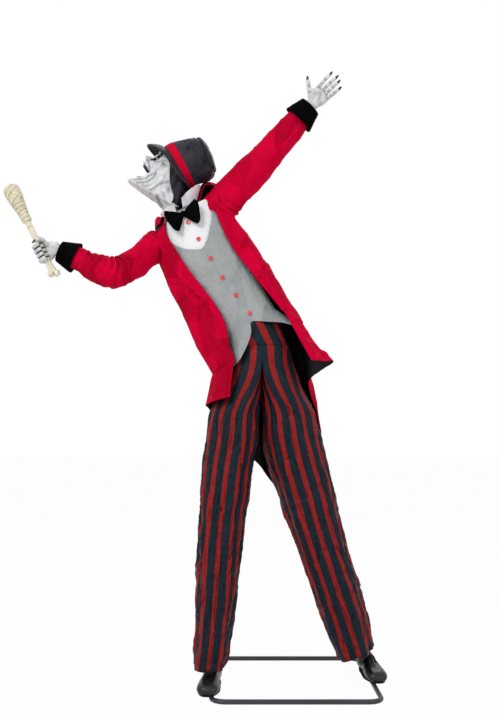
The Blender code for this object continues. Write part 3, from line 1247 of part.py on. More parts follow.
def make_right_hand(latex):
    """The gripping hand: the palm behind the torch, four fingers round it, and the thumb in front."""
    out = Vector((-TORCH.z, 0, TORCH.x))
    hold = TORCH_SHAFT_RADIUS + GRIP_CLEARANCE
    palm_y = TORCH_GRIP.y + hold + 0.0122
    knuckle = TORCH_GRIP + out * 0.010
    knuckle.y = palm_y
    path = [RIGHT_WRIST - FOREARM * 0.004, RIGHT_WRIST + FOREARM * 0.024, knuckle - out * 0.020, knuckle]
    sizes = [(0.021, 0.017), (0.030, 0.014), (0.038, 0.0116), (0.037, 0.0112)]
    hand = piece("right_hand", limb(path, sizes, TORCH), "right_forearm", latex)

    def round_torch(degrees, radius, height):
        angle = radians(degrees)
        return TORCH_GRIP + TORCH * height - FRONT * radius * cos(angle) + out * radius * sin(angle)

    tracks = []
    for height in (0.0280, 0.0093, -0.0093, -0.0280):
        radius = hold + FINGER_RADIUS
        turns = (8, 48, 90, 132, 175, 212)
        tracks.append((
            [round_torch(t, radius, height) for t in turns],
            [FINGER_RADIUS * k for k in (1.0, 1.0, 1.0, 0.98, 0.92, 0.70)],
        ))
    thumb = FINGER_RADIUS * 1.12
    heights = ((330, 0.028), (290, 0.036), (245, 0.043), (200, 0.0465), (155, 0.048))
    path = [round_torch(t, hold + thumb, h) for t, h in heights]
    tracks.append((path, [thumb * k for k in (1.0, 1.0, 0.98, 0.95, 0.75)]))
    fingers(hand, tracks, "right_forearm")
    reach = TORCH * 0.09
    cut(hand, rod(TORCH_GRIP - reach, TORCH_GRIP + reach, hold, 14), "right_forearm")
    inner = RIGHT_WRIST + FOREARM * (HAND_SOCKET + PLUG_CLEARANCE)
    cut(hand, rod(RIGHT_WRIST - FOREARM * 0.02, inner, ARM_TUBE / 2 + PLUG_CLEARANCE), "right_forearm")


# The open hand from the wrist, along the arm and towards the thumb: base and tip of each finger
OPEN_FINGERS = (
    ((0.064, 0.0285), (0.112, 0.0310), (0.148, 0.0300)),
    ((0.066, 0.0100), (0.116, 0.0070), (0.155, 0.0037)),
    ((0.063, -0.0090), (0.110, -0.0120), (0.146, -0.0145)),
    ((0.058, -0.0265), (0.098, -0.0320), (0.130, -0.0355)),
    ((0.018, 0.0200), (0.044, 0.0560), (0.0696, 0.0880)),
)


def make_left_hand(latex):
    """The open hand, palm to the front, with spread fingers."""
    along = Vector((LEFT_ARM.x, 0, LEFT_ARM.z)).normalized()
    thumbwards = Vector((-along.z, 0, along.x))

    def flat(a, b, forward=0.0):
        return LEFT_WRIST + along * a + thumbwards * b + FRONT * forward

    path = [flat(-0.006, 0), flat(0.018, 0.002), flat(0.045, 0.002), flat(0.072, 0.001)]
    sizes = [(0.023, 0.017), (0.029, 0.0150), (0.037, 0.0130), (0.036, 0.0095)]
    hand = piece("left_hand", limb(path, sizes, thumbwards), "left_arm", latex)
    tracks = []
    for track in OPEN_FINGERS:
        bends = (0.0, 0.003, 0.007)
        (a0, b0), (a1, b1), (a2, b2) = track
        middle = flat((a0 + a1) / 2, (b0 + b1) / 2, 0.001)
        points = [flat(a0, b0, bends[0]), middle, flat(a1, b1, bends[1]), flat(a2, b2, bends[2])]
        tracks.append((points, [FINGER_RADIUS * k for k in (1.08, 1.0, 0.92, 0.62)]))
    fingers(hand, tracks, "left_arm")
    start = LEFT_WRIST - LEFT_ARM * 0.02
    end = LEFT_WRIST + LEFT_ARM * (HAND_SOCKET + PLUG_CLEARANCE)
    cut(hand, rod(start, end, ARM_TUBE / 2 + PLUG_CLEARANCE), "left_arm")


SHAFT_TOP = 0.352
TORCH_HEAD_RADIUS = 0.0360


def make_torch(bone, wrap):
    """A bone for a handle, with two knuckles at its end, and a head of wound cloth strips."""
    foot_at = TORCH_GRIP - TORCH * TORCH_BELOW_GRIP
    r = TORCH_SHAFT_RADIUS
    profile = [
        (0, 0.004), (r * 1.10, 0.004), (r * 1.35, 0.016), (r * 1.10, 0.034), (r, 0.052), (r, 0.170),
        (r * 1.02, 0.205), (r * 1.02, SHAFT_TOP), (0, SHAFT_TOP),
    ]
    handle = piece("torch_handle", turned(profile, foot_at, TORCH, 14), "right_forearm", bone)
    out = Vector((-TORCH.z, 0, TORCH.x))
    for side in (-1, 1):
        fuse(handle, ball(foot_at + out * side * 0.0135 + TORCH * 0.008, 0.0165, 10), "right_forearm")
    bore = r * 1.02 + PLUG_CLEARANCE
    profile = [
        (bore, 0.206), (r + 0.0065, 0.206), (r + 0.0085, 0.222), (r + 0.0050, 0.240), (0.0270, 0.268),
        (0.0335, 0.300), (TORCH_HEAD_RADIUS, 0.330), (0.0330, 0.358), (0.0210, 0.378), (0, 0.386),
        (0, SHAFT_TOP + PLUG_CLEARANCE), (bore, SHAFT_TOP + PLUG_CLEARANCE),
    ]
    piece("torch_wrap", turned(profile, foot_at, TORCH, 16), "right_forearm", wrap)


def main():
    clear_scene()
    body("base", (0, 0, 0))
    body("waist_crank", MOTOR_SHAFT, "base")
    body("waist_link", MOTOR_SHAFT + CRANK_ARM * CRANK_RADIUS, "waist_crank")
    body("torso", WAIST, "base")
    body("head", NECK, "torso")
    body("jaw", JAW, "head")
    body("right_forearm", ELBOW, "torso")
    body("left_arm", LEFT_SHOULDER, "torso")
    steel = material("black_steel", (0.03, 0.03, 0.032), 0.35, 0.6)
    zinc = material("zinc_steel", (0.55, 0.56, 0.58), 0.35, 0.9)
    vinyl = material("black_vinyl", (0.02, 0.02, 0.022), 0.25)
    striped = material("striped_satin", (0.03, 0.045, 0.06), 0.55)
    grey = material("grey_plastic", (0.35, 0.35, 0.36), 0.5)
    black = material("black_plastic", (0.08, 0.08, 0.085), 0.45)
    white = material("white_cotton", (0.85, 0.85, 0.84), 0.8)
    silver = material("grey_satin", (0.45, 0.46, 0.46), 0.6)
    red = material("red_satin", (0.67, 0.0, 0.035), 0.5)
    red_plastic = material("red_plastic", (0.85, 0.02, 0.03), 0.3)
    velvet = material("black_velvet", (0.004, 0.004, 0.005), 0.9)
    satin = material("charcoal_satin", (0.04, 0.036, 0.05), 0.4)
    latex = material("grey_latex", (0.62, 0.63, 0.65), 0.55)
    bone = material("bone_plastic", (0.78, 0.72, 0.54), 0.5)
    lens = material("eye_plastic", (0.8, 0.2, 0.15), 0.15)
    make_base(steel)
    make_legs(zinc)
    make_hip_yoke(zinc)
    make_shoe(-1, "right", vinyl)
    make_shoe(1, "left", vinyl)
    make_trousers(striped)
    make_waist_drive(zinc, black)
    make_chest_form(grey)
    make_spine(zinc)
    make_shoulder_bar(zinc)
    make_control_box(black)
    make_neck_motor(black)
    make_waistband(striped)
    make_shirt(white)
    make_vest(silver)
    make_buttons(red_plastic)
    roots = (
        (RIGHT_SHOULDER - UPPER_ARM * 0.05, RIGHT_SHOULDER + UPPER_ARM * 0.10, RIGHT_SLEEVE_ROOT),
        (LEFT_SHOULDER - LEFT_ARM * 0.05, LEFT_SHOULDER + LEFT_ARM * 0.10, LEFT_SLEEVE_ROOT),
    )
    make_coat(red, roots)
    make_bow_tie(velvet)
    make_mask(latex)
    make_skull(grey)
    make_eyes(lens)
    make_teeth_and_jaw(bone, latex)
    make_jaw_motor(black)
    make_hat(satin, red)
    make_hood(satin)
    make_throat(latex)
    make_right_arm(zinc, black)
    make_left_arm(zinc)
    make_sleeves(red, velvet)
    make_right_hand(latex)
    make_left_hand(latex)
    make_torch(bone, white)


main()
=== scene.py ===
"""A lawn fire-eater: striped trousers, red tailcoat, tilted latex head and a bone torch on a tube stand."""

from math import atan2, cos, degrees, exp, pi, radians, sin

import bmesh
import bpy
from mathutils import Matrix, Vector, noise


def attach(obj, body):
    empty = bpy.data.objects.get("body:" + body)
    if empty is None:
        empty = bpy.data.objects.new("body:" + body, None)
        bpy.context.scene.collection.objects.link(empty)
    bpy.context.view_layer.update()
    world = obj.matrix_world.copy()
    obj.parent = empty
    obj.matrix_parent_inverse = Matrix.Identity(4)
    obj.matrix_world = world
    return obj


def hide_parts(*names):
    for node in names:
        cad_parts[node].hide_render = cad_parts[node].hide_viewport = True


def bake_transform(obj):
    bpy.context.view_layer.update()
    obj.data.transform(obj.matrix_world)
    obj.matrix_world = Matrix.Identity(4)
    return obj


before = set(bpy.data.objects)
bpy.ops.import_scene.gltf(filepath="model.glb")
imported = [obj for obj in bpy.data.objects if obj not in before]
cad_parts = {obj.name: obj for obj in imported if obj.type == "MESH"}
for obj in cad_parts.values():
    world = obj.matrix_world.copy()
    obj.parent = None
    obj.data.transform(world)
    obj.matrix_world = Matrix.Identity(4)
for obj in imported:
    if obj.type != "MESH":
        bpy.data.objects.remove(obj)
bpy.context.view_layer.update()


# Studio: a camera at breast height in front of the figure, a white room, and three large soft lamps.
# The room is white only for the camera and in reflections, and lights the figure with a pale grey.

scene = bpy.context.scene
scene.view_settings.view_transform = "Standard"

camera = bpy.data.objects.new("camera", bpy.data.cameras.new("camera"))
scene.collection.objects.link(camera)
camera.location = (0.1244, -3.45, 1.004)
camera.rotation_euler = (pi / 2, 0, 0)
camera.data.lens = 43.41
camera.data.sensor_width = 36
camera.data.shift_x = 20 / 714
camera.data.shift_y = 73 / 714
scene.camera = camera


def colour(code):
    """The linear colour of an sRGB hex code, which is what a shader socket takes."""
    parts = [int(code[i : i + 2], 16) / 255 for i in (1, 3, 5)]
    return (*[p / 12.92 if p <= 0.04045 else ((p + 0.055) / 1.055) ** 2.4 for p in parts], 1.0)


def add(tree, kind, inputs, **settings):
    """Adds a shader node. An input's value is a number, a colour or another node's output."""
    made = tree.nodes.new("ShaderNode" + kind)
    for name, value in settings.items():
        setattr(made, name, value)
    for socket, value in inputs.items():
        if isinstance(value, bpy.types.NodeSocket):
            tree.links.new(value, made.inputs[socket])
        else:
            made.inputs[socket].default_value = value
    return made


def empty_material(name):
    made = bpy.data.materials.new(name)
    made.use_nodes = True
    made.node_tree.nodes.clear()
    return made, made.node_tree


def white_for_camera(tree):
    """1 for what the camera sees, also in a reflection or through glass, and 0 for light on the figure."""
    ray = add(tree, "LightPath", {})
    seen = add(
        tree, "Math", {0: ray.outputs["Is Camera Ray"], 1: ray.outputs["Is Glossy Ray"]},
        operation="MAXIMUM",
    )
    return add(
        tree, "Math", {0: seen.outputs[0], 1: ray.outputs["Is Transmission Ray"]}, operation="MAXIMUM",
    )


world = bpy.data.worlds.new("white_room")
scene.world = world
world.use_nodes = True
world.node_tree.nodes.clear()
room_light = add(world.node_tree, "Background", {"Color": colour("#F4F6FA"), "Strength": 0.50})
room_white = add(world.node_tree, "Background", {"Color": (1, 1, 1, 1), "Strength": 1.0})
room = add(
    world.node_tree,
    "MixShader",
    {0: white_for_camera(world.node_tree).outputs[0], 1: room_light.outputs[0], 2: room_white.outputs[0]},
)
add(world.node_tree, "OutputWorld", {"Surface": room.outputs[0]})

for name, at, power, size in (
    ("key_lamp", (-1.9, -3.0, 3.7), 66, 1.3),
    ("fill_lamp", (2.6, -2.8, 2.2), 20, 2.2),
    ("back_lamp", (0.6, 2.6, 3.4), 40, 2.0),
):
    lamp = bpy.data.objects.new(name, bpy.data.lights.new(name, "AREA"))
    scene.collection.objects.link(lamp)
    lamp.data.energy = power
    lamp.data.size = size
    lamp.location = at
    lamp.rotation_euler = (Vector((0.1, 0, 1.2)) - Vector(at)).to_track_quat("-Z", "Y").to_euler()

# Seamless white paper: it looks white to the camera and keeps a faint shadow of the stand.
paper, tree = empty_material("seamless_paper")
matt = add(tree, "BsdfDiffuse", {"Color": colour("#F2F2F0")})
glow = add(tree, "Emission", {"Color": (1, 1, 1, 1), "Strength": 1.0})
share = add(tree, "Math", {0: white_for_camera(tree).outputs[0], 1: 0.965}, operation="MULTIPLY")
mixed = add(tree, "MixShader", {0: share.outputs[0], 1: matt.outputs[0], 2: glow.outputs[0]})
add(tree, "OutputMaterial", {"Surface": mixed.outputs[0]})
floor_mesh = bmesh.new()
bmesh.ops.create_grid(floor_mesh, x_segments=1, y_segments=1, size=30)
floor_data = bpy.data.meshes.new("floor")
floor_mesh.to_mesh(floor_data)
floor_mesh.free()
floor_data.materials.append(paper)
floor = bpy.data.objects.new("floor", floor_data)
scene.collection.objects.link(floor)


# Trousers: wide polyester satin with printed red stripes that run down each leg, gathered at the waist.
# Each leg is one tube. Above the crotch its outer side follows the seat and its inner side is the seam.

MIDDLE = Vector((0.3704, 0, 0))
UP = Vector((0, 0, 1))
FRONT = Vector((0, -1, 0))
WAIST = Vector((-0.120, 0, 1.350))
STRIPE_PITCH = 0.050
CROTCH = (1.05, 1.285)
SEAT = (
    (1.18, 0.150, 0.090), (1.22, 0.146, 0.097), (1.26, 0.132, 0.094), (1.303, 0.121, 0.091),
    (1.3356, 0.117, 0.087),
)
RIGHT_LEG = (
    (0.084, -0.328, -0.100, 0.058, 0.088),
    (0.130, -0.323, -0.096, 0.063, 0.088),
    (0.240, -0.311, -0.088, 0.070, 0.090),
    (0.400, -0.299, -0.076, 0.079, 0.092),
    (0.560, -0.288, -0.062, 0.085, 0.094),
    (0.720, -0.272, -0.048, 0.091, 0.098),
    (0.880, -0.253, -0.034, 0.099, 0.102),
    (0.960, -0.240, -0.026, 0.102, 0.104),
    (1.100, -0.226, -0.014, 0.094, 0.104),
    (1.220, -0.200, -0.004, 0.086, 0.100),
    (1.336, -0.168, 0.000, 0.052, 0.078),
)
LEFT_LEG = (
    (0.098, 0.266, 0.056, 0.066, 0.088),
    (0.150, 0.250, 0.054, 0.072, 0.090),
    (0.240, 0.221, 0.050, 0.082, 0.092),
    (0.400, 0.168, 0.042, 0.093, 0.096),
    (0.560, 0.116, 0.034, 0.102, 0.098),
    (0.720, 0.070, 0.026, 0.111, 0.100),
    (0.880, 0.025, 0.018, 0.117, 0.102),
    (0.960, 0.006, 0.014, 0.114, 0.104),
    (1.100, -0.014, 0.008, 0.098, 0.104),
    (1.220, -0.040, 0.002, 0.084, 0.100),
    (1.336, -0.062, 0.000, 0.052, 0.078),
)


def between(table, value):
    """Reads a smooth curve through (position, size) pairs."""
    if value <= table[0][0]:
        return table[0][1]
    if value >= table[-1][0]:
        return table[-1][1]
    i = max(k for k in range(len(table) - 1) if table[k][0] <= value)
    (x0, y0), (x1, y1) = table[i], table[i + 1]

    def slope(k):
        low, high = max(k - 1, 0), min(k + 1, len(table) - 1)
        return (table[high][1] - table[low][1]) / (table[high][0] - table[low][0])

    h = x1 - x0
    t = (value - x0) / h
    start = y0 * (2 * t**3 - 3 * t**2 + 1) + slope(i) * h * (t**3 - 2 * t**2 + t)
    return start + y1 * (3 * t**2 - 2 * t**3) + slope(i + 1) * h * (t**3 - t**2)


def curves(table):
    """Splits rows of (position, size, size...) into one curve for each size."""
    return [[(row[0], row[k]) for row in table] for k in range(1, len(table[0]))]


def ease(start, end, value):
    """Rises smoothly from 0 at start to 1 at end."""
    t = max(0.0, min(1.0, (value - start) / (end - start)))
    return t * t * (3 - 2 * t)


def crease(point, depth, seed=0.0):
    """How far cloth stands out at a place: soft hills with a few sharp pressed lines between them."""
    at = Vector(point) + Vector((seed, seed * 0.7, -seed))
    ridge = 1 - 2 * abs(noise.noise(at * 1.9))
    return depth * (0.6 * noise.noise(at) + 0.4 * ridge**3)


# The patches tilt by a noise that starts at another place in each run unless it gets a seed
noise.seed_set(7)


def packed_crease(point, depth, seed=0.0):
    """Flat tilted patches that meet in straight creases, as in stiff thin cloth that was packed folded."""
    at = Vector(point) + Vector((seed, -seed, seed * 0.6))
    distances, centres = noise.voronoi(at)
    tilt = noise.noise_vector(centres[0] * 7.3)
    return depth * tilt.dot(at - centres[0]) * 2.4 * ease(0.0, 0.16, distances[1] - distances[0])


def draped(columns, rows, place, width, height):
    """A flat grid of cloth bent into place, from shares across and up. Its map is in the given units."""
    mesh = bmesh.new()
    cut = mesh.loops.layers.uv.new("cloth")
    bmesh.ops.create_grid(mesh, x_segments=columns, y_segments=rows, size=0.5)
    for face in mesh.faces:
        for loop in face.loops:
            loop[cut].uv = ((loop.vert.co.x + 0.5) * width, (loop.vert.co.y + 0.5) * height)
    for point in mesh.verts:
        point.co = place(point.co.x + 0.5, point.co.y + 0.5)
    return mesh


def keep_shade(mesh, values, name="shade"):
    """Stores a number at each point of a mesh, which its material reads."""
    layer = mesh.verts.layers.float_color.new(name)
    for point, value in zip(mesh.verts, values):
        point[layer] = (value, value, value, 1)
    return mesh


# A fold bent this sharply takes the darkest painted shade
DARKEST_BEND = 64


def shade_folds(mesh, strength):
    """Keeps how deep in a fold each point lies, for the cloths to take painted shade there."""
    mesh.normal_update()
    hollow = []
    for point in mesh.verts:
        near = [edge.other_vert(point).co - point.co for edge in point.link_edges]
        reach = sum(away.length_squared for away in near)
        hollow.append(2 * sum(away.dot(point.normal) for away in near) / max(reach, 1e-9))
    mesh.verts.index_update()
    dark = []
    for point in mesh.verts:
        near = [hollow[edge.other_vert(point).index] for edge in point.link_edges]
        bent = (hollow[point.index] + sum(near)) / (1 + len(near))
        dark.append(max(0.0, min(1.0, bent * strength / DARKEST_BEND)))
    keep_shade(mesh, dark)


def piece(name, mesh, body, materials, nodes=(), wall=0.0, smooth=0, facing=None, folds=0.0):
    """Finishes a mesh given from the base frame's middle. A wall grows inwards, with the last material."""
    bmesh.ops.remove_doubles(mesh, verts=mesh.verts, dist=2e-5)
    bmesh.ops.recalc_face_normals(mesh, faces=mesh.faces)
    if facing and sum((f.normal * f.calc_area() for f in mesh.faces), Vector()).dot(facing) < 0:
        bmesh.ops.reverse_faces(mesh, faces=mesh.faces)
    # Painted shade that the cloth materials read, darkest deep in the folds
    if folds:
        shade_folds(mesh, folds)
    bmesh.ops.translate(mesh, vec=MIDDLE, verts=mesh.verts)
    data = bpy.data.meshes.new(name)
    mesh.to_mesh(data)
    mesh.free()
    data.shade_smooth()
    for material in materials:
        data.materials.append(material)
    made = bpy.data.objects.new(name, data)
    scene.collection.objects.link(made)
    if wall:
        solid = made.modifiers.new("wall", "SOLIDIFY")
        solid.thickness = wall
        solid.offset = -1
        solid.material_offset = len(materials) - 1
    if smooth:
        rounded = made.modifiers.new("rounded", "SUBSURF")
        rounded.levels = smooth
        rounded.render_levels = smooth
    if isinstance(body, tuple):
        bpy.context.view_layer.update()
        finished = bpy.data.meshes.new_from_object(made.evaluated_get(bpy.context.evaluated_depsgraph_get()))
        made.modifiers.clear()
        made.data = finished
        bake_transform(made)
    else:
        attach(made, body)
    if nodes:
        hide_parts(*nodes)


def finish_cloth(tree, tint, hollows, creasing, creased, threads, threaded, finish):
    """Ends a cloth's material: painted shade in the folds of its mesh, with creases and threads as relief.
    """
    spot = add(tree, "TexCoord", {}).outputs["Object"]
    hollow = add(tree, "Attribute", {}, attribute_name="shade").outputs["Fac"]
    # Painted shade: the cloth goes towards black deep in its folds
    sunk = add(tree, "Math", {0: hollow, 1: hollows}, operation="MULTIPLY").outputs[0]
    shaded = add(tree, "Mix", {0: sunk, 6: tint, 7: (0, 0, 0, 1)}, data_type="RGBA").outputs[2]
    soft = add(tree, "TexNoise", {"Vector": spot, **creasing}).outputs[0]
    coarse = add(tree, "Bump", {"Height": soft, "Strength": creased[0], "Distance": creased[1]}).outputs[0]
    close = {"Height": threads, "Strength": threaded[0], "Distance": threaded[1], "Normal": coarse}
    normal = add(tree, "Bump", close).outputs[0]
    surface = add(tree, "BsdfPrincipled", {"Base Color": shaded, "Normal": normal, **finish})
    add(tree, "OutputMaterial", {"Surface": surface.outputs[0]})


# Printed polyester satin: navy ground, brick red stripes with hard edges, a faint twill and soft creasing.
# The real twill is 0.3 mm and is drawn at 2 mm so that a close view shows it.
TWILL_SCALE = 109.9
striped_satin, tree = empty_material("printed_stripe_satin")
cloth_map = add(tree, "TexCoord", {})
spot = cloth_map.outputs["Object"]
wobble = add(tree, "TexNoise", {"Vector": spot, "Scale": 14, "Detail": 3})
split = add(tree, "SeparateXYZ", {0: cloth_map.outputs["UV"]})
drift = add(tree, "Math", {0: wobble.outputs[0], 1: 0.10, 2: split.outputs[0]}, operation="MULTIPLY_ADD")
phase = add(tree, "Math", {0: drift.outputs[0], 1: 1.0}, operation="FLOORED_MODULO")
edge_in = add(tree, "MapRange", {0: phase.outputs[0], 1: 0.45, 2: 0.47})
edge_out = add(tree, "MapRange", {0: phase.outputs[0], 1: 0.85, 2: 0.83})
stripe = add(tree, "Math", {0: edge_in.outputs[0], 1: edge_out.outputs[0]}, operation="MULTIPLY")
worn = add(tree, "TexNoise", {"Vector": spot, "Scale": 42, "Detail": 6, "Roughness": 0.65})
navy = add(tree, "Mix", {0: worn.outputs[0], 6: colour("#0C141C"), 7: colour("#24313D")}, data_type="RGBA")
brick = add(tree, "Mix", {0: worn.outputs[0], 6: colour("#7C1214"), 7: colour("#B42E2A")}, data_type="RGBA")
printed = add(tree, "Mix", {0: stripe.outputs[0], 6: navy.outputs[2], 7: brick.outputs[2]}, data_type="RGBA")
twill = add(
    tree, "TexWave", {"Vector": spot, "Scale": TWILL_SCALE, "Distortion": 0.6}, bands_direction="DIAGONAL"
)
finish_cloth(
    tree, printed.outputs[2], 0.80, {"Scale": 24, "Detail": 5, "Distortion": 0.8}, (0.6, 0.014),
    twill.outputs["Fac"],
    (0.12, 0.0006), {"Roughness": 0.5, "Specular IOR Level": 0.10},
)


def stripe_place(columns, across, z):
    """The print's own measure round a leg, from a red stripe at its front: one unit is one pitch."""
    around = 2 * pi * ((between(columns[2], z) ** 2 + between(columns[3], z) ** 2) / 2) ** 0.5
    return 0.65 + (across - 0.25) * around / STRIPE_PITCH


def make_leg(name, table, outward, hem_slope, seed):
    columns = curves(table)
    seat_half, seat_depth = curves(SEAT)
    low, high = table[0][0], SEAT[-1][0]

    def place(across, up):
        turn = 2 * pi * across
        z = low + (high - low) * up
        x, y, half, depth = [between(column, z) for column in columns]
        ring = Vector((cos(turn), sin(turn), 0))
        hang = 1 - ease(0.5, 1.1, z)
        hills = Vector((ring.x * 2.2, ring.y * 2.2, z * 2.6))
        fold = crease(hills, 0.012, seed) + 0.0045 * sin(5 * turn + seed + 2 * z) * hang
        fold += crease(
            Vector((ring.x * 2, ring.y * 2, z * 13 + ring.y * 2)), 0.0045, seed + 5,
        ) * (0.5 + 0.5 * hang)
        fold += packed_crease((ring.x * 1.8 + z * 4, ring.y * 1.8, z * 7 - ring.x), 0.0074, seed + 9)
        leg = Vector((x + outward * (half + fold) * ring.x, y - (depth + fold) * ring.y, z))
        lean = 1 - ease(low, 0.55, z)
        leg.z += (leg.x - x) * hem_slope * lean
        bend = degrees(atan2(sin(turn), cos(turn)))
        seat_x, seat_y = between(seat_half, z), between(seat_depth, z)
        if abs(bend) <= 108:
            around = radians(bend / 1.2)
            half, depth = seat_x + fold * 0.15, seat_y + fold * 0.15
            seat = Vector((WAIST.x + outward * half * cos(around), -depth * sin(around), z))
        else:
            left = 1 - (abs(bend) - 108) / 72
            seat = Vector((WAIST.x, -seat_y * left * (1 if bend > 0 else -1), z))
        return leg.lerp(seat, ease(*CROTCH, z))

    mesh = draped(160, 260, place, 1, high - low)
    print_at = mesh.loops.layers.uv.active
    for face in mesh.faces:
        behind = sum(corner[print_at].uv.x for corner in face.loops) > 3
        for corner in face.loops:
            uv = corner[print_at].uv
            uv.x = stripe_place(columns, uv.x - behind, low + uv.y)
    inner = [
        f for f in mesh.faces
        if min(v.co.z for v in f.verts) > CROTCH[1] - 0.001 and max(
            abs(v.co.x - WAIST.x) for v in f.verts
        ) < 1e-4
    ]
    bmesh.ops.delete(mesh, geom=inner, context="FACES")
    piece(name, mesh, "base", [striped_satin], ["trousers"], wall=0.002, folds=1.0)


make_leg("right_trouser_leg", RIGHT_LEG, -1, 0.0, 3.0)
make_leg("left_trouser_leg", LEFT_LEG, 1, 0.40, 8.0)


# Torso clothes share one measure: a distance up the spine, and an angle round it from the front, in degrees.
# The waistband is the same striped cloth, gathered up from the seat over the bottom of the chest form.

LEAN = radians(32)
SPINE = Vector((-sin(LEAN), 0, cos(LEAN)))
TO_LEFT = Vector((cos(LEAN), 0, sin(LEAN)))
FORM_HALF_WIDTH = ((0.10, 0.112), (0.22, 0.114), (0.36, 0.128), (0.47, 0.140), (0.55, 0.124), (0.61, 0.072))
FORM_HALF_DEPTH = ((0.10, 0.080), (0.22, 0.084), (0.36, 0.094), (0.47, 0.096), (0.55, 0.090), (0.61, 0.074))


def torso_point(distance, angle, off):
    half, depth = between(FORM_HALF_WIDTH, distance), between(FORM_HALF_DEPTH, distance)
    turn = radians(angle)
    return WAIST + SPINE * distance + TO_LEFT * (half + off) * sin(turn) + FRONT * (depth + off) * cos(turn)


def band_point(across, up):
    turn = 360 * across - 180
    pleat = 0.0022 * sin(34 * radians(turn)) * sin(pi * up)
    level, half, depth = SEAT[-1]
    seat = Vector((WAIST.x + half * sin(radians(turn)), -depth * cos(radians(turn)), level - 0.002))
    if up < 0.5:
        return seat.lerp(torso_point(0.094, turn, 0.005 + pleat), up * 2)
    return torso_point(0.094 + 0.024 * (up - 0.5) * 2, turn, 0.005 + pleat)


band = draped(144, 12, band_point, 1, 0.12)
for corner in (loop for face in band.faces for loop in face.loops):
    place_on_cloth = corner[band.loops.layers.uv.active]
    table = LEFT_LEG if place_on_cloth.uv.x > 0.5 else RIGHT_LEG
    columns = curves(table)
    place_on_cloth.uv.x = stripe_place(columns, 0.3 - 1.2 * abs(place_on_cloth.uv.x - 0.5), SEAT[-1][0])
piece(
    "gathered_waistband", band, ("base", "torso", WAIST + UP * -0.012, WAIST + SPINE * 0.09),
    [striped_satin], ["waistband"], wall=0.002,
)


# Shirt front: a false front of white cotton under the waistcoat, with a button strip down the middle.
# The stand-up collar is stiff cotton, open in front, with its two tips turned out.

# A wave texture of scale 0.314 has one band to a metre
BANDS_PER_METRE = 0.314


def woven_cloth(name, shaded_tone, lit_tone, thread, roughness, shine, crumpled):
    """A cloth's material: painted shade in soft patches, painted light on pressed facets, and threads of the
    given spacing.
    """
    made, tree = empty_material(name)
    spot = add(tree, "TexCoord", {}).outputs["Object"]
    # Soft patches of painted shade, towards the shaded tone
    cloud = add(tree, "TexNoise", {"Vector": spot, "Scale": 11, "Detail": 5, "Roughness": 0.6})
    patch = add(tree, "MapRange", {0: cloud.outputs[0], 1: 0.36, 2: 0.64})
    # Pressed facets, each painted lighter or darker as if it caught the light its own way: painted light
    laid = add(tree, "Mapping", {"Vector": spot, "Rotation": (0.3, 0.6, 0.2), "Scale": (15, 9, 6)})
    facet = add(tree, "TexVoronoi", {"Vector": laid.outputs[0], "Scale": 1.0})
    tone = add(tree, "MapRange", {0: facet.outputs["Color"], 1: 0.25, 2: 0.6})
    facet_light = add(tree, "Math", {0: tone.outputs[0], 1: 0.62, 2: 0.0}, operation="MULTIPLY_ADD")
    both = add(tree, "Math", {0: patch.outputs[0], 1: 0.38, 2: facet_light.outputs[0]}, operation="MULTIPLY_ADD")
    # The cloth's colour with its painted light and shade, between the shaded and the lit tone
    cloth_with_painted_light = add(tree, "Mix", {0: both.outputs[0], 6: colour(shaded_tone), 7: colour(lit_tone)}, data_type="RGBA")
    warp = add(tree, "TexWave", {"Vector": spot, "Scale": BANDS_PER_METRE / thread}, bands_direction="X")
    weft = add(tree, "TexWave", {"Vector": spot, "Scale": BANDS_PER_METRE / thread}, bands_direction="Z")
    weave = add(tree, "Math", {0: warp.outputs["Fac"], 1: weft.outputs["Fac"]}, operation="MULTIPLY")
    finish_cloth(
        tree, cloth_with_painted_light.outputs[2], 0.72, {"Scale": 19, "Detail": 4, "Distortion": 1.1}, (crumpled, 0.012),
        weave.outputs[0],
        (0.15, thread / 4), {"Roughness": roughness, "Specular IOR Level": shine},
    )
    return made


# Starched cotton: bright and matt, its 0.4 mm threads drawn at 1.5 mm for a close view.
white_cotton = woven_cloth("starched_white_cotton", "#F6F7FA", "#FFFFFF", 0.0015, 0.85, 0.1, 0.2)
SHIRT_OFF = 0.0035


def shirt_point(across, up):
    angle = -70 + 156 * across
    distance = 0.36 + 0.24 * up
    strip = 0.0011 * (ease(-8.5, -7.6, angle) - ease(7.6, 8.5, angle))
    tuck = 0.0007 * sin(angle * 1.1) * ease(12, 16, abs(angle))
    shoulder = 0.034 * ease(0.53, 0.60, distance) * ease(30, 72, angle)
    return torso_point(distance, angle, SHIRT_OFF + strip + tuck + shoulder)


piece(
    "shirt_front_panel", draped(200, 60, shirt_point, 0.28, 0.24), "torso", [white_cotton],
    ["shirt_front"], wall=0.0012,
)


def swell(value, middle, spread):
    """Rises to 1 at the middle and falls off softly on both sides."""
    return exp(-(((value - middle) / spread) ** 2))


def collar_point(across, up):
    angle = 12 + 336 * across
    near = min(angle - 12, 348 - angle)
    tip = exp(-((near / 15) ** 2))
    side = swell(angle, 78, 34)
    spread = 0.040 * side * up**1.2
    base = torso_point(
        0.61, angle, -0.0005 + 0.0065 * up + 0.020 * tip * max(0.0, up - 0.45) ** 1.3 + spread,
    )
    rise = 0.0005 + (0.040 - 0.010 * tip + 0.016 * side + 0.0025 * sin(radians(angle * 3))) * up
    return base + SPINE * rise + TO_LEFT * 0.010 * up


piece(
    "stand_up_collar", draped(140, 14, collar_point, 0.5, 0.05), "torso", [white_cotton],
    ["shirt_collar"], wall=0.0018, smooth=1,
)


# Waistcoat: thin grey satin in two fronts, the left one lapped over the right by a finger's width.
# Both end below the waist in a soft point, and the neck is cut in a deep V.

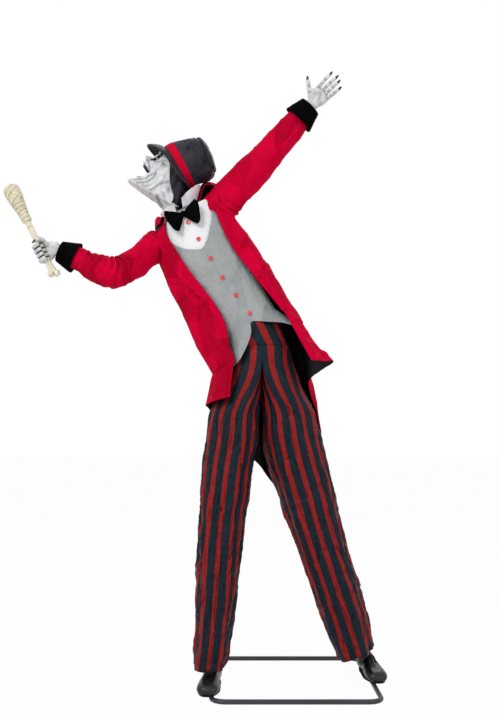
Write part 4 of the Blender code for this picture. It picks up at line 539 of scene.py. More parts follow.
VEST_RIGHT_HEM = ((0, 0.089), (9, 0.050), (36, -0.005), (55, -0.020), (80, -0.010), (100, 0.030))
VEST_LEFT_HEM = ((0, 0.089), (8, 0.084), (28, 0.050), (48, 0.016), (60, -0.014), (72, -0.010), (100, 0.040))
VEST_RIGHT_TOP = (
    (0, 0.430), (8, 0.433), (27, 0.468), (38, 0.505), (50, 0.552), (66, 0.580), (82, 0.545), (100, 0.500)
)
VEST_LEFT_TOP = ((0, 0.430), (12, 0.452), (31, 0.500), (54, 0.550), (70, 0.580), (84, 0.545), (100, 0.500))
# Satin of fine polyester: a soft shine, with painted light and shade in mottled patches; threads drawn at
# 1.2 mm.
grey_satin = woven_cloth("grey_lining_satin", "#9A9D9E", "#B8BBBA", 0.0012, 0.6, 0.08, 0.7)


def vest_off(distance):
    return 0.0075 + 0.46 * max(0.0, 0.085 - distance) + 0.05 * max(0.0, distance - 0.46)


def make_vest_front(name, inner, outer, lap, hem, top):
    def place(across, up):
        angle = inner + (outer - inner) * across
        low, high = between(hem, abs(angle)), between(top, abs(angle))
        distance = low + (high - low) * up
        hills = Vector((angle / 24, distance * 9, lap * 900))
        fold = crease(hills, 0.0022) + 0.0012 * swell(abs(angle), 33, 1.6) * ease(0.36, 0.28, distance)
        return torso_point(distance, angle, vest_off(distance) + max(-0.0012, fold) + lap)

    piece(
        name, draped(90, 150, place, 0.2, 0.5), "torso", [grey_satin], ["vest"], wall=0.0012
    )


make_vest_front("waistcoat_right_front", -100, 2.0, 0.0, VEST_RIGHT_HEM, VEST_RIGHT_TOP)
make_vest_front("waistcoat_left_front", -1.5, 100, 0.0016, VEST_LEFT_HEM, VEST_LEFT_TOP)


# Buttons: moulded red plastic with a rolled rim, sewn on through two holes with red thread.


def place_at(at, along, side=None):
    """Local Z runs along the given direction, and local X as near to side as it can."""
    z = Vector(along).normalized()
    x = Vector(side) if side is not None else (UP if abs(z.z) < 0.9 else Vector((1, 0, 0)))
    x = (x - z * x.dot(z)).normalized()
    return Matrix.Translation(at) @ Matrix((x, z.cross(x), z)).transposed().to_4x4()


def turned(profile, at, along, steps=32, side=None):
    """Spins (radius, height) pairs round an axis that starts at a point."""
    mesh = bmesh.new()
    points = [mesh.verts.new((r, 0, h)) for r, h in profile]
    edges = [mesh.edges.new(pair) for pair in zip(points, points[1:])]
    bmesh.ops.spin(
        mesh, geom=points + edges, cent=(0, 0, 0), axis=(0, 0, 1), angle=2 * pi, steps=steps, use_merge=True
    )
    bmesh.ops.remove_doubles(mesh, verts=mesh.verts, dist=1e-6)
    mesh.transform(place_at(at, along, side))
    return mesh


def join(mesh, more):
    """Adds another mesh to this one."""
    data = bpy.data.meshes.new("joined")
    more.to_mesh(data)
    more.free()
    mesh.from_mesh(data)
    bpy.data.meshes.remove(data)
    return mesh


def painted(name, tones, cloud, finish, spread=None, shade=None, broad=None, fine=None):
    """The material of a painted, moulded or polished surface, in two tones.

    Cloud sets the noise that mixes the tones, spread narrows it, and shade is a third tone for the painted
    shade that the mesh keeps. Broad is relief from that noise, and fine is relief from a texture of its own:
    a strength and a depth in metres. Finish holds the shader's constants, and a pair for its roughness
    follows the noise.
    """
    made, tree = empty_material(name)
    spot = add(tree, "TexCoord", {}).outputs["Object"]
    patches = add(tree, "TexNoise", {"Vector": spot, **cloud}).outputs[0]
    share = add(tree, "MapRange", {0: patches, 1: spread[0], 2: spread[1]}).outputs[0] if spread else patches
    mix = {"data_type": "RGBA"}
    tint = add(tree, "Mix", {0: share, 6: colour(tones[0]), 7: colour(tones[1])}, **mix).outputs[2]
    if shade:
        # Painted shade in a third tone, where the mesh keeps it
        where = add(tree, "Attribute", {}, attribute_name="shade").outputs["Fac"]
        tint = add(tree, "Mix", {0: where, 6: tint, 7: colour(shade)}, **mix).outputs[2]
    surface = {"Base Color": tint, **finish}
    if isinstance(finish["Roughness"], tuple):
        smooth, rough = finish["Roughness"]
        span = add(tree, "MapRange", {0: patches, 1: 0.3, 2: 0.7, 3: smooth, 4: rough})
        surface["Roughness"] = span.outputs[0]
    if fine:
        kind, settings, bands, strength, depth = fine
        grain = add(tree, kind, {"Vector": spot, **settings}, **bands)
        height = grain.outputs["Fac"] if bands else grain.outputs[0]
        surface["Normal"] = add(
            tree, "Bump", {"Height": height, "Strength": strength, "Distance": depth},
        ).outputs[0]
    if broad:
        under = {"Normal": surface["Normal"]} if fine else {}
        relief = {"Height": patches, "Strength": broad[0], "Distance": broad[1], **under}
        surface["Normal"] = add(tree, "Bump", relief).outputs[0]
    add(tree, "OutputMaterial", {"Surface": add(tree, "BsdfPrincipled", surface).outputs[0]})
    return made


# Polystyrene, polished: a hard gloss over a clear warm red.
red_plastic = painted(
    "polished_red_polystyrene", ("#E81C24", "#F53A40"), {"Scale": 160, "Detail": 2},
    {"Roughness": 0.18, "Coat Weight": 0.5},
)


def make_button(name, distance, angle, off):
    at = torso_point(distance, angle, off + 0.0006)
    sideways = torso_point(distance, angle + 1, off) - torso_point(distance, angle - 1, off)
    upwards = torso_point(distance + 0.01, angle, off) - torso_point(distance - 0.01, angle, off)
    out = sideways.cross(upwards).normalized()
    rim = [(0.0078 + 0.0008 * sin(pi * k / 8), 0.0008 + 0.0030 * k / 8) for k in range(9)]
    dish = [(0.0066, 0.0042), (0.0052, 0.0036), (0.0034, 0.0033), (0, 0.0032)]
    mesh = turned([(0, 0), (0.0070, 0), *rim, *dish], at, out)
    for side in (-1, 1):
        thread = turned([(0.0009 * sin(pi * k / 6), 0.0030 * k / 6) for k in range(7)], (0, 0, 0), UP, 8)
        across = upwards.normalized() * 0.0015 * side
        thread.transform(place_at(at + out * 0.0034 - sideways.normalized() * 0.0015 + across, sideways))
        join(mesh, thread)
    piece(name + "_dished", mesh, "torso", [red_plastic], [name], smooth=1)


for number, (distance, angle) in enumerate(((0.546, 0), (0.468, 0)), 1):
    make_button(f"shirt_button_{number}", distance, angle, SHIRT_OFF + 0.0011)
for number, (distance, angle) in enumerate(((0.379, 0), (0.292, 0), (0.207, 4), (0.119, 8)), 1):
    make_button(f"vest_button_{number}", distance, angle, 0.0091 + 0.0008)


# Bow tie: black velvet over wadding. Two wings fan out from a tight knot, with folds that run into it.

# Velvet: a 1 mm pile that swallows light and shows a pale edge where it turns away.
black_velvet = woven_cloth("black_velvet", "#020202", "#070708", 0.002, 0.95, 0.04, 0.3)
BOW = torso_point(0.584, 0, SHIRT_OFF) + FRONT * 0.0113
WING_TALL = ((0, 0.009), (0.12, 0.014), (0.40, 0.030), (0.75, 0.045), (0.93, 0.051), (1, 0.050))
WING_THICK = ((0, 0.0065), (0.3, 0.0085), (0.8, 0.0085), (0.95, 0.0055), (1, 0.0008))


def make_bow():
    rise = (SPINE - FRONT * 0.3).normalized()

    def wing(side, drop):
        outwards = (TO_LEFT * cos(drop) - SPINE * sin(drop)) * side
        upwards = (SPINE * cos(drop) + TO_LEFT * sin(drop) - FRONT * 0.15).normalized()

        def place(across, up):
            turn = 2 * pi * across
            tall, thick = between(WING_TALL, up), between(WING_THICK, up)
            middle = BOW + (outwards + FRONT * 0.22) * 0.067 * up
            pinch = 1 + 0.30 * sin(5 * turn + side) * (1 - up) ** 1.5
            bulge = 0.006 * sin(turn) * cos(turn) ** 2 * ease(0.6, 1.0, up)
            scoop = outwards * 0.013 * -(cos(turn) ** 4) * up**2
            return middle + scoop + upwards * tall * cos(turn) + FRONT * (thick * pinch * sin(turn) + bulge)

        return draped(64, 44, place, 0.2, 0.07)

    def knot(across, up):
        turn, climb = 2 * pi * across, pi * (up - 0.5)
        wide = abs(cos(climb)) ** 0.5
        groove = 1 - 0.08 * cos(3 * turn) ** 2
        side = TO_LEFT * 0.0125 * wide * cos(turn) * groove
        return BOW + FRONT * 0.001 + side + FRONT * 0.0105 * wide * sin(turn) + rise * 0.0125 * sin(climb)

    mesh = join(wing(1, radians(24)), wing(-1, radians(-4)))
    join(mesh, draped(32, 20, knot, 0.05, 0.03))
    piece("velvet_bow", mesh, "torso", [black_velvet], ["bow_tie"])


make_bow()


# Tailcoat: red polyester cloth with a thin black lining. It hangs open, is cut away in front, and falls
# in two long tails behind. Broad lapels are folded back from the neck to the lower chest.

COAT_HALF_WIDTH = (
    (0.0, 0.190), (0.14, 0.186), (0.35, 0.188), (0.45, 0.180), (0.54, 0.154), (0.585, 0.121), (0.622, 0.0790)
)
COAT_HALF_DEPTH = (
    (0.0, 0.122), (0.14, 0.104), (0.35, 0.106), (0.45, 0.112), (0.54, 0.111), (0.585, 0.105), (0.622, 0.0788)
)
COAT_RIGHT_EXTRA = ((0.0, 0.038), (0.16, 0.040), (0.30, 0.012), (0.45, 0.0))
COAT_RIGHT_EDGE = (
    (-0.2, -42), (-0.05, -38), (0.065, -33), (0.134, -26), (0.23, -25), (0.37, -31), (0.515, -38),
    (0.622, -52),
)
COAT_LEFT_EDGE = (
    (-0.2, 38), (-0.04, 42), (0.057, 46), (0.23, 38), (0.375, 32), (0.47, 38), (0.55, 54), (0.60, 78),
    (0.622, 86),
)
COAT_TOP = 0.622
# Heights below the waist only count the share of the way to the hem
SKIRT = 0.2
SKIRT_SHARE = 0.36
# The hem, by angle: where it hangs across, in depth and in height
COAT_HEM = (
    (38, 0.064, -0.156, 1.272), (52, 0.118, -0.138, 1.270), (66, 0.164, -0.092, 1.270),
    (80, 0.064, -0.026, 1.200), (92, 0.108, 0.036, 1.080), (102, 0.126, 0.070, 0.985),
    (116, 0.104, 0.114, 0.905), (140, 0.030, 0.142, 0.800), (165, -0.050, 0.162, 0.770),
    (195, -0.135, 0.164, 0.870), (225, -0.218, 0.142, 0.935), (250, -0.290, 0.094, 1.020),
    (268, -0.330, 0.030, 1.095), (285, -0.334, -0.040, 1.108), (300, -0.318, -0.096, 1.112),
    (318, -0.247, -0.156, 1.134),
)
HEM_CURVES = curves(COAT_HEM)
# Polyester suiting: a saturated red with a slight sheen, in a shaded and a lit tone for painted light and
# shade; twill threads drawn at 1.4 mm.
red_suiting = woven_cloth("red_polyester_suiting", "#B40028", "#E4003B", 0.0014, 0.75, 0.04, 0.4)
# Acetate lining: smooth, black, with a dull shine.
black_lining = woven_cloth("black_acetate_lining", "#09090B", "#161619", 0.0012, 0.42, 0.15, 0.3)


def coat_point(height, angle, off=0.0):
    turn = radians(angle)
    distance = max(0.0, height)
    half, depth = between(COAT_HALF_WIDTH, distance) + off, between(COAT_HALF_DEPTH, distance) + off
    half += between(COAT_RIGHT_EXTRA, distance) * max(0.0, -sin(turn))
    worn = WAIST + SPINE * distance + TO_LEFT * half * sin(turn) + FRONT * depth * cos(turn)
    if height >= 0:
        return worn
    hem = Vector([between(curve, angle) for curve in HEM_CURVES])
    hem += Vector((sin(turn), -cos(turn), 0)) * off
    return worn.lerp(hem, -height / SKIRT)


def coat_fold(height, angle):
    """How far the coat's cloth stands out: slack between shoulder and waist, then the tails' own pleats."""
    flat = coat_point(height, angle)
    slack = crease((flat.x * 6, flat.y * 6, flat.z * 4), 0.010, 2.0)
    pressed = packed_crease((flat.x * 9 + flat.z * 5, flat.y * 7, flat.z * 4.5 - flat.x * 2), 0.0105, 7.0)
    tails = 0.006 * sin(radians(angle) * 11 + 3 * height) * ease(0.05, -0.15, height)
    return (slack + pressed) * (0.35 + 0.65 * ease(0.60, 0.45, height)) + tails


def coat_cloth(across, up):
    """The skirt below the waist takes the lower share of the cloth, and the worn part the rest."""
    if up < SKIRT_SHARE:
        height = -SKIRT * (1 - up / SKIRT_SHARE)
    else:
        height = COAT_TOP * (up - SKIRT_SHARE) / (1 - SKIRT_SHARE)
    right, left = between(COAT_RIGHT_EDGE, height) + 360, between(COAT_LEFT_EDGE, height)
    angle = left + (right - left) * across
    edge = min(ease(0, 0.03, across), ease(1, 0.97, across))
    return coat_point(height, angle, coat_fold(height, angle) * (0.25 + 0.75 * edge))


piece(
    "tailcoat", draped(210, 190, coat_cloth, 1.0, 1.0),
    ("base", "torso", WAIST - UP * 0.30, WAIST + SPINE * 0.05),
    [red_suiting, black_lining], ["coat"], wall=0.0022, folds=1.0,
)


def make_lapel(name, edge_table, turn_way, widths, top):
    """A lapel rolls over at the coat's front edge and lies on the coat, with its free edge just clear."""

    def place(across, up):
        height = 0.06 + (top - 0.06) * up
        edge = between(edge_table, height)
        angle = edge + turn_way * (
            between(widths, height) * across + 0.2
        ) - turn_way * 1.2 * (1 - across) ** 6
        lift = -0.0035 + 0.0075 * min(1.0, across / 0.10) ** 0.5 + 0.0065 * across**4
        if turn_way < 0:
            angle += 360
        return coat_point(
            height, angle, coat_fold(height, angle) * (0.25 + 0.75 * ease(0, 0.09, across)) + lift,
        )

    piece(
        name, draped(
            44, 120, place, 0.1, 0.5,
        ), "torso", [red_suiting], wall=0.0012, facing=FRONT, folds=1.0,
    )


make_lapel(
    "left_lapel", COAT_LEFT_EDGE, 1, (
        (0.06, 0.5), (0.15, 8), (0.30, 17), (0.42, 24), (0.53, 30), (0.60, 33),
    ), 0.605
)
make_lapel(
    "right_lapel", COAT_RIGHT_EDGE, -1, ((0.06, 0.5), (0.2, 5), (0.36, 12), (0.50, 18), (0.60, 22)), 0.60
)


def coat_collar_point(across, up):
    """The coat's collar: a stand round the back of the neck that turns over and falls on the shoulders."""
    angle = 84 + 226 * across
    near = ease(0, 0.12, min(across, 1 - across))
    stand = min(1.0, up / 0.45)
    fall = max(0.0, (up - 0.45) / 0.55)
    off = 0.0045 + 0.004 * stand + (0.004 + 0.030 * fall) * ease(0, 0.25, fall)
    peak = swell(angle, 100, 34)
    off += peak * (0.058 * stand + 0.026 * fall)
    wave = 0.003 * sin(radians(angle * 4)) * fall
    rise = -0.006 + (0.012 + 0.020 * near) * stand - (0.020 + 0.020 * near) * fall**1.5
    rise += peak * (0.036 * stand - 0.036 * fall**1.5)
    return coat_point(0.600, angle, off - 0.022) + SPINE * (0.022 + rise + wave) + TO_LEFT * 0.004


piece(
    "turned_coat_collar", draped(120, 30, coat_collar_point, 0.5, 0.08), "torso",
    [red_suiting, black_lining], wall=0.0016, smooth=1, facing=UP,
)


# Sleeves: tubes of the coat's cloth, set into the armholes and creased where the arms bend.
# The right one is in two lengths that meet at the elbow, and each ends in a turned velvet cuff.

RIGHT_SHOULDER = Vector((-0.5481, 0, 1.7369))
LEFT_SHOULDER = Vector((-0.2801, 0, 1.9044))
ELBOW = Vector((-0.683, -0.110, 1.600))
RIGHT_WRIST = Vector((-0.905, -0.118, 1.695))
LEFT_WRIST = Vector((0.072, -0.080, 2.274))
RIGHT_UPPER = (ELBOW - RIGHT_SHOULDER).normalized()
RIGHT_LOWER = (RIGHT_WRIST - ELBOW).normalized()
LEFT_ALONG = (LEFT_WRIST - LEFT_SHOULDER).normalized()


def tube_along(points, side=FRONT):
    """Gives a function from a length along a smooth path to the place there and both directions across."""
    lengths = [0.0]
    for first, second in zip(points, points[1:]):
        lengths.append(lengths[-1] + (second - first).length)
    path = curves([(run, *point) for run, point in zip(lengths, points)])

    def at(run):
        middle = Vector([between(curve, run) for curve in path])
        low, high = max(0.0, run - 0.004), min(lengths[-1], run + 0.004)
        ahead = Vector([between(curve, high) - between(curve, low) for curve in path]).normalized()
        across = (side - ahead * side.dot(ahead)).normalized()
        return middle, across, ahead.cross(across)

    return at, lengths[-1]


def make_sleeve(name, at, span, radii, creases, crushed, body, nodes, columns=110):
    """creases are (place along, spread, depth) of the sharp folds that ring the arm at a bend."""

    def place(across, up):
        turn = 2 * pi * across
        run = span[0] + (span[1] - span[0]) * up
        middle, first, second = at(run)
        round_arm = first * cos(turn) + second * sin(turn)
        flat = middle + round_arm * 0.05
        fold = crease((flat.x * 9, flat.y * 9, flat.z * 9), 0.007, 4.0)
        fold += packed_crease((flat.x * 10 + flat.y * 5, flat.y * 10, flat.z * 8 - flat.x * 4), crushed, 1.0)
        for bend, spread, depth in creases:
            ring = sin(2 * pi * (run + 0.010 * sin(turn * 2 + 1)) / 0.024 + 1.5 * cos(turn))
            fold += depth * (ring - 0.3) * swell(run, bend, spread) * (0.55 - 0.45 * cos(turn + 0.8))
        return middle + round_arm * (between(radii, run) + fold)

    rows = int((span[1] - span[0]) / 0.0032)
    piece(
        name, draped(columns, rows, place, 0.35, span[1] - span[0]), body,
        [red_suiting, black_lining], nodes, wall=0.0022, folds=1.0,
    )


right_path = [
    RIGHT_SHOULDER - RIGHT_UPPER * 0.030,
    RIGHT_SHOULDER + RIGHT_UPPER * 0.060,
    ELBOW - RIGHT_UPPER * 0.055,
    ELBOW - RIGHT_UPPER * 0.020 + RIGHT_LOWER * 0.010,
    ELBOW + RIGHT_LOWER * 0.020 - RIGHT_UPPER * 0.010,
    ELBOW + RIGHT_LOWER * 0.055,
    ELBOW + RIGHT_LOWER * 0.130,
    RIGHT_WRIST - RIGHT_LOWER * 0.004,
]
right_at, right_length = tube_along(right_path)
elbow_run = sum((b - a).length for a, b in zip(right_path[:4], right_path[1:4])) + 0.014
right_radii = (
    (0, 0.057), (0.10, 0.058), (elbow_run - 0.04, 0.056), (elbow_run, 0.058), (elbow_run + 0.05, 0.057),
    (right_length - 0.12, 0.052), (right_length - 0.06, 0.044), (right_length, 0.0345),
)
right_creases = ((elbow_run, 0.055, 0.0060), (0.035, 0.03, 0.0030), (elbow_run + 0.12, 0.03, 0.0030))
make_sleeve(
    "right_sleeve_upper_length", right_at, (0.0, elbow_run), right_radii, right_creases, 0.0095, "torso",
    ["right_upper_sleeve"],
)
make_sleeve(
    "right_sleeve_lower_length", right_at, (elbow_run, right_length), right_radii, right_creases, 0.0095,
    ("torso", "right_forearm", ELBOW - RIGHT_LOWER * 0.02, ELBOW + RIGHT_LOWER * 0.08),
    ["right_lower_sleeve"],
)
left_path = [
    LEFT_SHOULDER - LEFT_ALONG * 0.045,
    LEFT_SHOULDER + LEFT_ALONG * 0.12,
    LEFT_SHOULDER + LEFT_ALONG * 0.24 - UP * 0.004,
    LEFT_SHOULDER + LEFT_ALONG * 0.36 - UP * 0.003,
    LEFT_WRIST - LEFT_ALONG * 0.010,
]
left_at, left_length = tube_along(left_path)
left_radii = (
    (0, 0.070), (0.08, 0.069), (0.16, 0.066), (0.24, 0.063), (0.32, 0.058), (0.40, 0.052),
    (left_length - 0.06, 0.045), (left_length, 0.0375),
)
make_sleeve(
    "left_sleeve_length", left_at, (0.0, left_length), left_radii, ((0.05, 0.035, 0.004),), 0.0058,
    ("torso", "left_arm", LEFT_SHOULDER - LEFT_ALONG * 0.02, LEFT_SHOULDER + LEFT_ALONG * 0.09),
    ["left_sleeve"],
    columns=120,
)


CUFF = (
    (0.0006, -0.006), (0.0030, 0.004), (0.0075, 0.020), (0.0125, 0.038), (0.0170, 0.054), (0.0195, 0.061),
    (0.0190, 0.0655), (0.0160, 0.0660), (0.0135, 0.062), (0.0085, 0.042), (0.0030, 0.020), (-0.0030, 0.000),
    (-0.0024, -0.005), (0.0006, -0.006),
)


def make_cuff(name, wrist, along, start, radius, body, node):
    """A deep velvet cuff, turned back over the end of the sleeve, that flares towards the elbow."""
    mesh = turned([(radius + out, height) for out, height in CUFF], wrist + along * start, -along, 56, FRONT)
    for point in mesh.verts:
        reach = wrist + along * start - point.co
        out = reach - along * reach.dot(along)
        sag = crease(Vector(point.co) * 18, 0.0040, 9.0) * ease(0.0, 0.04, reach.dot(along))
        point.co -= out.normalized() * sag + along * sag * 0.6
    piece(name, mesh, body, [black_velvet], [node], smooth=1, folds=0.6)


make_cuff("right_velvet_cuff", RIGHT_WRIST, RIGHT_LOWER, -0.004, 0.0404, "right_forearm", "right_cuff")
make_cuff("left_velvet_cuff", LEFT_WRIST, LEFT_ALONG, -0.010, 0.0434, "left_arm", "left_cuff")


# Head: a pale latex mask stretched round the skull, open-mouthed, with deep wrinkles darkened by painted
# shade. Its places are forward along the face, towards the viewer's side, and up. The face, the jaw and the
# throat are one skin.

NECK = WAIST + SPINE * 0.695
FACE = Vector((-cos(radians(50)), 0, sin(radians(50))))
CROWN = Vector((sin(radians(50)), 0, cos(radians(50))))
PROFILE = (
    (-0.010, 0.166), (0.004, 0.168), (0.018, 0.165), (0.034, 0.158), (0.061, 0.154), (0.085, 0.158),
    (0.11, 0.157),
)
SIDE_BACK = ((-0.02, -0.040), (0.0, -0.030), (0.026, 0.004), (0.050, 0.030), (0.080, 0.045), (0.11, 0.050))
SIDE_OUT = ((-0.02, 0.066), (0.02, 0.0705), (0.05, 0.0755), (0.085, 0.0765), (0.11, 0.0740))
UPPER_LIP = ((0, 0.008), (0.25, 0.006), (0.45, 0.001), (0.57, -0.003), (0.8, -0.006), (1, -0.004))
HAIRLINE = ((0, 0.100), (0.4, 0.095), (0.7, 0.087), (1, 0.080))
MOUTH_CORNER = 0.57
EYE = (0.131, 0.031, 0.062)
# Rows down the lower face, each by share from the middle to the back edge: forward, aside and up
LOWER_LIP = (
    (0, 0.150, 0, -0.073), (0.14, 0.1465, 0.0125, -0.0695), (0.28, 0.137, 0.0265, -0.060),
    (0.40, 0.124, 0.039, -0.046), (0.50, 0.114, 0.048, -0.027), (0.57, 0.1115, 0.053, -0.003),
)
JAW_ROWS = (
    (
        (0, 0.1565, 0, -0.078), (0.14, 0.153, 0.014, -0.075), (0.28, 0.142, 0.030, -0.067),
        (0.42, 0.125, 0.044, -0.054), (0.57, 0.104, 0.0565, -0.034), (0.70, 0.080, 0.063, -0.027),
        (0.82, 0.046, 0.067, -0.024), (1, -0.036, 0.066, -0.010),
    ),
    (
        (0, 0.153, 0, -0.090), (0.14, 0.149, 0.0155, -0.087), (0.28, 0.136, 0.031, -0.081),
        (0.42, 0.116, 0.044, -0.073), (0.57, 0.090, 0.055, -0.061), (0.70, 0.066, 0.0615, -0.052),
        (0.82, 0.036, 0.0655, -0.042), (1, -0.040, 0.065, -0.018),
    ),
    (
        (0, 0.126, 0, -0.0845), (0.14, 0.122, 0.014, -0.083), (0.28, 0.110, 0.028, -0.079),
        (0.42, 0.092, 0.040, -0.073), (0.57, 0.068, 0.050, -0.065), (0.70, 0.046, 0.0575, -0.057),
        (0.82, 0.018, 0.062, -0.046), (1, -0.044, 0.064, -0.024),
    ),
    (
        (0, 0.055, 0, -0.0575), (0.28, 0.048, 0.026, -0.053), (0.57, 0.026, 0.046, -0.044),
        (0.82, -0.008, 0.0595, -0.031), (1, -0.050, 0.063, -0.014),
    ),
    (
        (0, -0.030, 0, -0.054), (0.28, -0.036, 0.028, -0.050), (0.57, -0.048, 0.0485, -0.036),
        (0.82, -0.058, 0.060, -0.018), (1, -0.070, 0.0615, -0.004),
    ),
)
# Folds of the skin, as lines of (forward, up) that both sides share: depth, width and how dark the painted
# shade is
SKIN_FOLDS = (
    (((0.160, 0.030), (0.146, 0.018), (0.130, 0.009), (0.113, -0.004)), 0.0034, 0.0030, 0.55),
    (((0.142, 0.047), (0.129, 0.042), (0.115, 0.047)), 0.0026, 0.0030, 0.5),
    (((0.139, 0.040), (0.126, 0.033), (0.112, 0.037)), 0.0018, 0.0026, 0.35),
    (((0.114, 0.064), (0.100, 0.069), (0.086, 0.078)), 0.0016, 0.0022, 0.3),
    (((0.114, 0.058), (0.099, 0.055), (0.083, 0.058)), 0.0016, 0.0022, 0.3),
    (((0.098, 0.059), (0.094, 0.050)), 0.0030, 0.0100, 0.42),
    (
        ((0.100, 0.022), (0.093, 0.008), (0.099, -0.010), (0.101, -0.030), (0.113, -0.050), (0.130, -0.068)),
        0.0032, 0.0028, 0.45,
    ),
    (
        ((0.090, 0.012), (0.083, -0.008), (0.084, -0.032), (0.095, -0.052), (0.115, -0.070)), 0.0030, 0.0030,
        0.55,
    ),
    (((0.066, -0.030), (0.070, -0.046), (0.088, -0.062)), 0.0022, 0.0026, 0.35),
    (
        ((0.052, -0.050), (0.047, -0.030), (0.046, -0.006), (0.034, 0.018), (0.012, 0.038)), 0.0036, 0.0042,
        0.42,
    ),
    (((0.060, 0.034), (0.050, 0.020), (0.046, 0.002)), 0.0020, 0.0035, 0.25),
    (((0.018, -0.043), (0.002, -0.047), (-0.018, -0.050)), 0.0030, 0.0055, 0.65),
    (((0.012, -0.018), (-0.010, -0.026), (-0.034, -0.032)), 0.0022, 0.0035, 0.3),
    (((0.008, 0.010), (0.002, 0.002)), 0.0020, 0.0070, 0.55),
    (((0.170, 0.022), (0.160, 0.024)), 0.0016, 0.0024, 0.6),
)


def in_head(forward, side, up):
    return NECK + FACE * forward + FRONT * side + CROWN * up


# Two bodies and two places, from the lips' corner to the jaw's rows; a piece given them is baked where it
# stands
MOUTH_BLEND = ("head", "jaw", in_head(0.1255, 0, -0.0168), in_head(0.1495, 0, -0.0583))


def off_line(line, x, y):
    """The distance from a place to a line of points."""
    nearest = 1.0
    for (x0, y0), (x1, y1) in zip(line, line[1:]):
        dx, dy = x1 - x0, y1 - y0
        t = max(0.0, min(1.0, ((x - x0) * dx + (y - y0) * dy) / (dx * dx + dy * dy)))
        nearest = min(nearest, ((x - x0 - t * dx) ** 2 + (y - y0 - t * dy) ** 2) ** 0.5)
    return nearest


def skin_relief(forward, side, up):
    """How far the latex stands out at a place, and how dark its painted shade is there, black in the eye
    sockets.
    """
    out, dark = 0.0, 0.0
    for line, depth, width, paint in SKIN_FOLDS:
        away = off_line(line, forward, up)
        if away < width * 4:
            out += depth * (0.35 * swell(away, 1.9 * width, width) - exp(-((away / (0.7 * width)) ** 2)))
            dark += paint * exp(-((away / (1.2 * width)) ** 2))
    lumps = Vector((forward * 38, abs(side) * 38 + side * 4, up * 38))
    out += 0.0012 * noise.noise(lumps) + 0.0005 * noise.noise(lumps * 3.1)
    # Black painted shade in the eye socket, round the hole for the eyeball
    socket = off_line(((0.1490, 0.042), (0.1400, 0.056), (0.1370, 0.071)), forward, up)
    return out, min(1.0, dark) + 1.2 * ease(0.0132, 0.0104, socket) * ease(0.012, 0.020, abs(side))


def face_point(across, up):
    reach = abs(2 * across - 1)
    hand = 1 if across > 0.5 else -1
    turn = pi / 2 * reach
    low, high = between(UPPER_LIP, reach), between(HAIRLINE, reach)
    u = low + (high - low) * up
    back, wide = between(SIDE_BACK, u), between(SIDE_OUT, u)
    f = back + (between(PROFILE, u) - back) * max(0.0, cos(turn)) ** 0.7
    s = wide * sin(turn) ** 0.95 if reach else 0.0

    def hill(height, beside, level, wide_by, tall_by):
        return height * exp(-(((s - beside) / wide_by) ** 2) - ((u - level) / tall_by) ** 2)

    f += hill(0.026, 0, 0.032, 0.0105, 0.0125) + hill(0.009, 0, 0.058, 0.009, 0.018)
    f += hill(0.010, 0.0125, 0.027, 0.0055, 0.0065) - hill(0.006, 0.0075, 0.0205, 0.0035, 0.0035)
    f += hill(0.008, 0.050, 0.032, 0.014, 0.010) + hill(0.006, 0.028, 0.0870, 0.020, 0.0085)
    f -= hill(0.014, 0.036, 0.060, 0.015, 0.0145)
    lid = (Vector((f, s, u)) - Vector(EYE)).length
    if lid < 0.0146:
        f += (0.0146 - lid) * 0.8
    out, _ = skin_relief(f, s, u)
    lip = 0.0035 * exp(-((up / 0.05) ** 2)) * ease(MOUTH_CORNER + 0.05, MOUTH_CORNER - 0.15, reach)
    outwards = Vector((cos(turn), sin(turn), 0)) * (out + lip)
    return in_head(f + outwards.x, hand * (s + outwards.y), u)


def row_point(table, reach):
    return Vector([between(curve, reach) for curve in curves(table)])


def lower_face_point(reach, down):
    """A place on the jaw and throat. Down is 0 at the lip, 1 to 4 on the jaw's rows, and 5 in the collar."""
    if reach < MOUTH_CORNER:
        lip = row_point(LOWER_LIP, reach)
    else:
        at = face_point(0.5 + reach / 2, 0.0) - NECK
        lip = Vector((at.dot(FACE), at.dot(FRONT), at.dot(CROWN)))
    rows = [lip] + [row_point(table, reach) for table in JAW_ROWS]
    return row_point([(number, *row) for number, row in enumerate(rows)], down)


def lower_skin(first, last, tuck):
    def place(across, up):
        reach, hand = abs(2 * across - 1), (1 if across > 0.5 else -1)
        down = first + (last - first) * (1 - up)
        at = lower_face_point(reach, down)
        out, _ = skin_relief(*at)
        roll = 0.0028 * swell(down, 0.25, 0.22) * ease(MOUTH_CORNER + 0.1, MOUTH_CORNER - 0.1, reach)
        away = (Vector((at.x * 0.55 - 0.01, at.y, at.z + 0.012))).normalized()
        at += away * (out * min(1.0, down * 2) + roll - tuck * ease(0.75, 1.0, up))
        return in_head(at.x, hand * at.y, at.z)

    return place


def paint_skin_shade(mesh):
    places = [point.co - NECK for point in mesh.verts]
    return keep_shade(mesh, [skin_relief(at.dot(FACE), at.dot(FRONT), at.dot(CROWN))[1] for at in places])


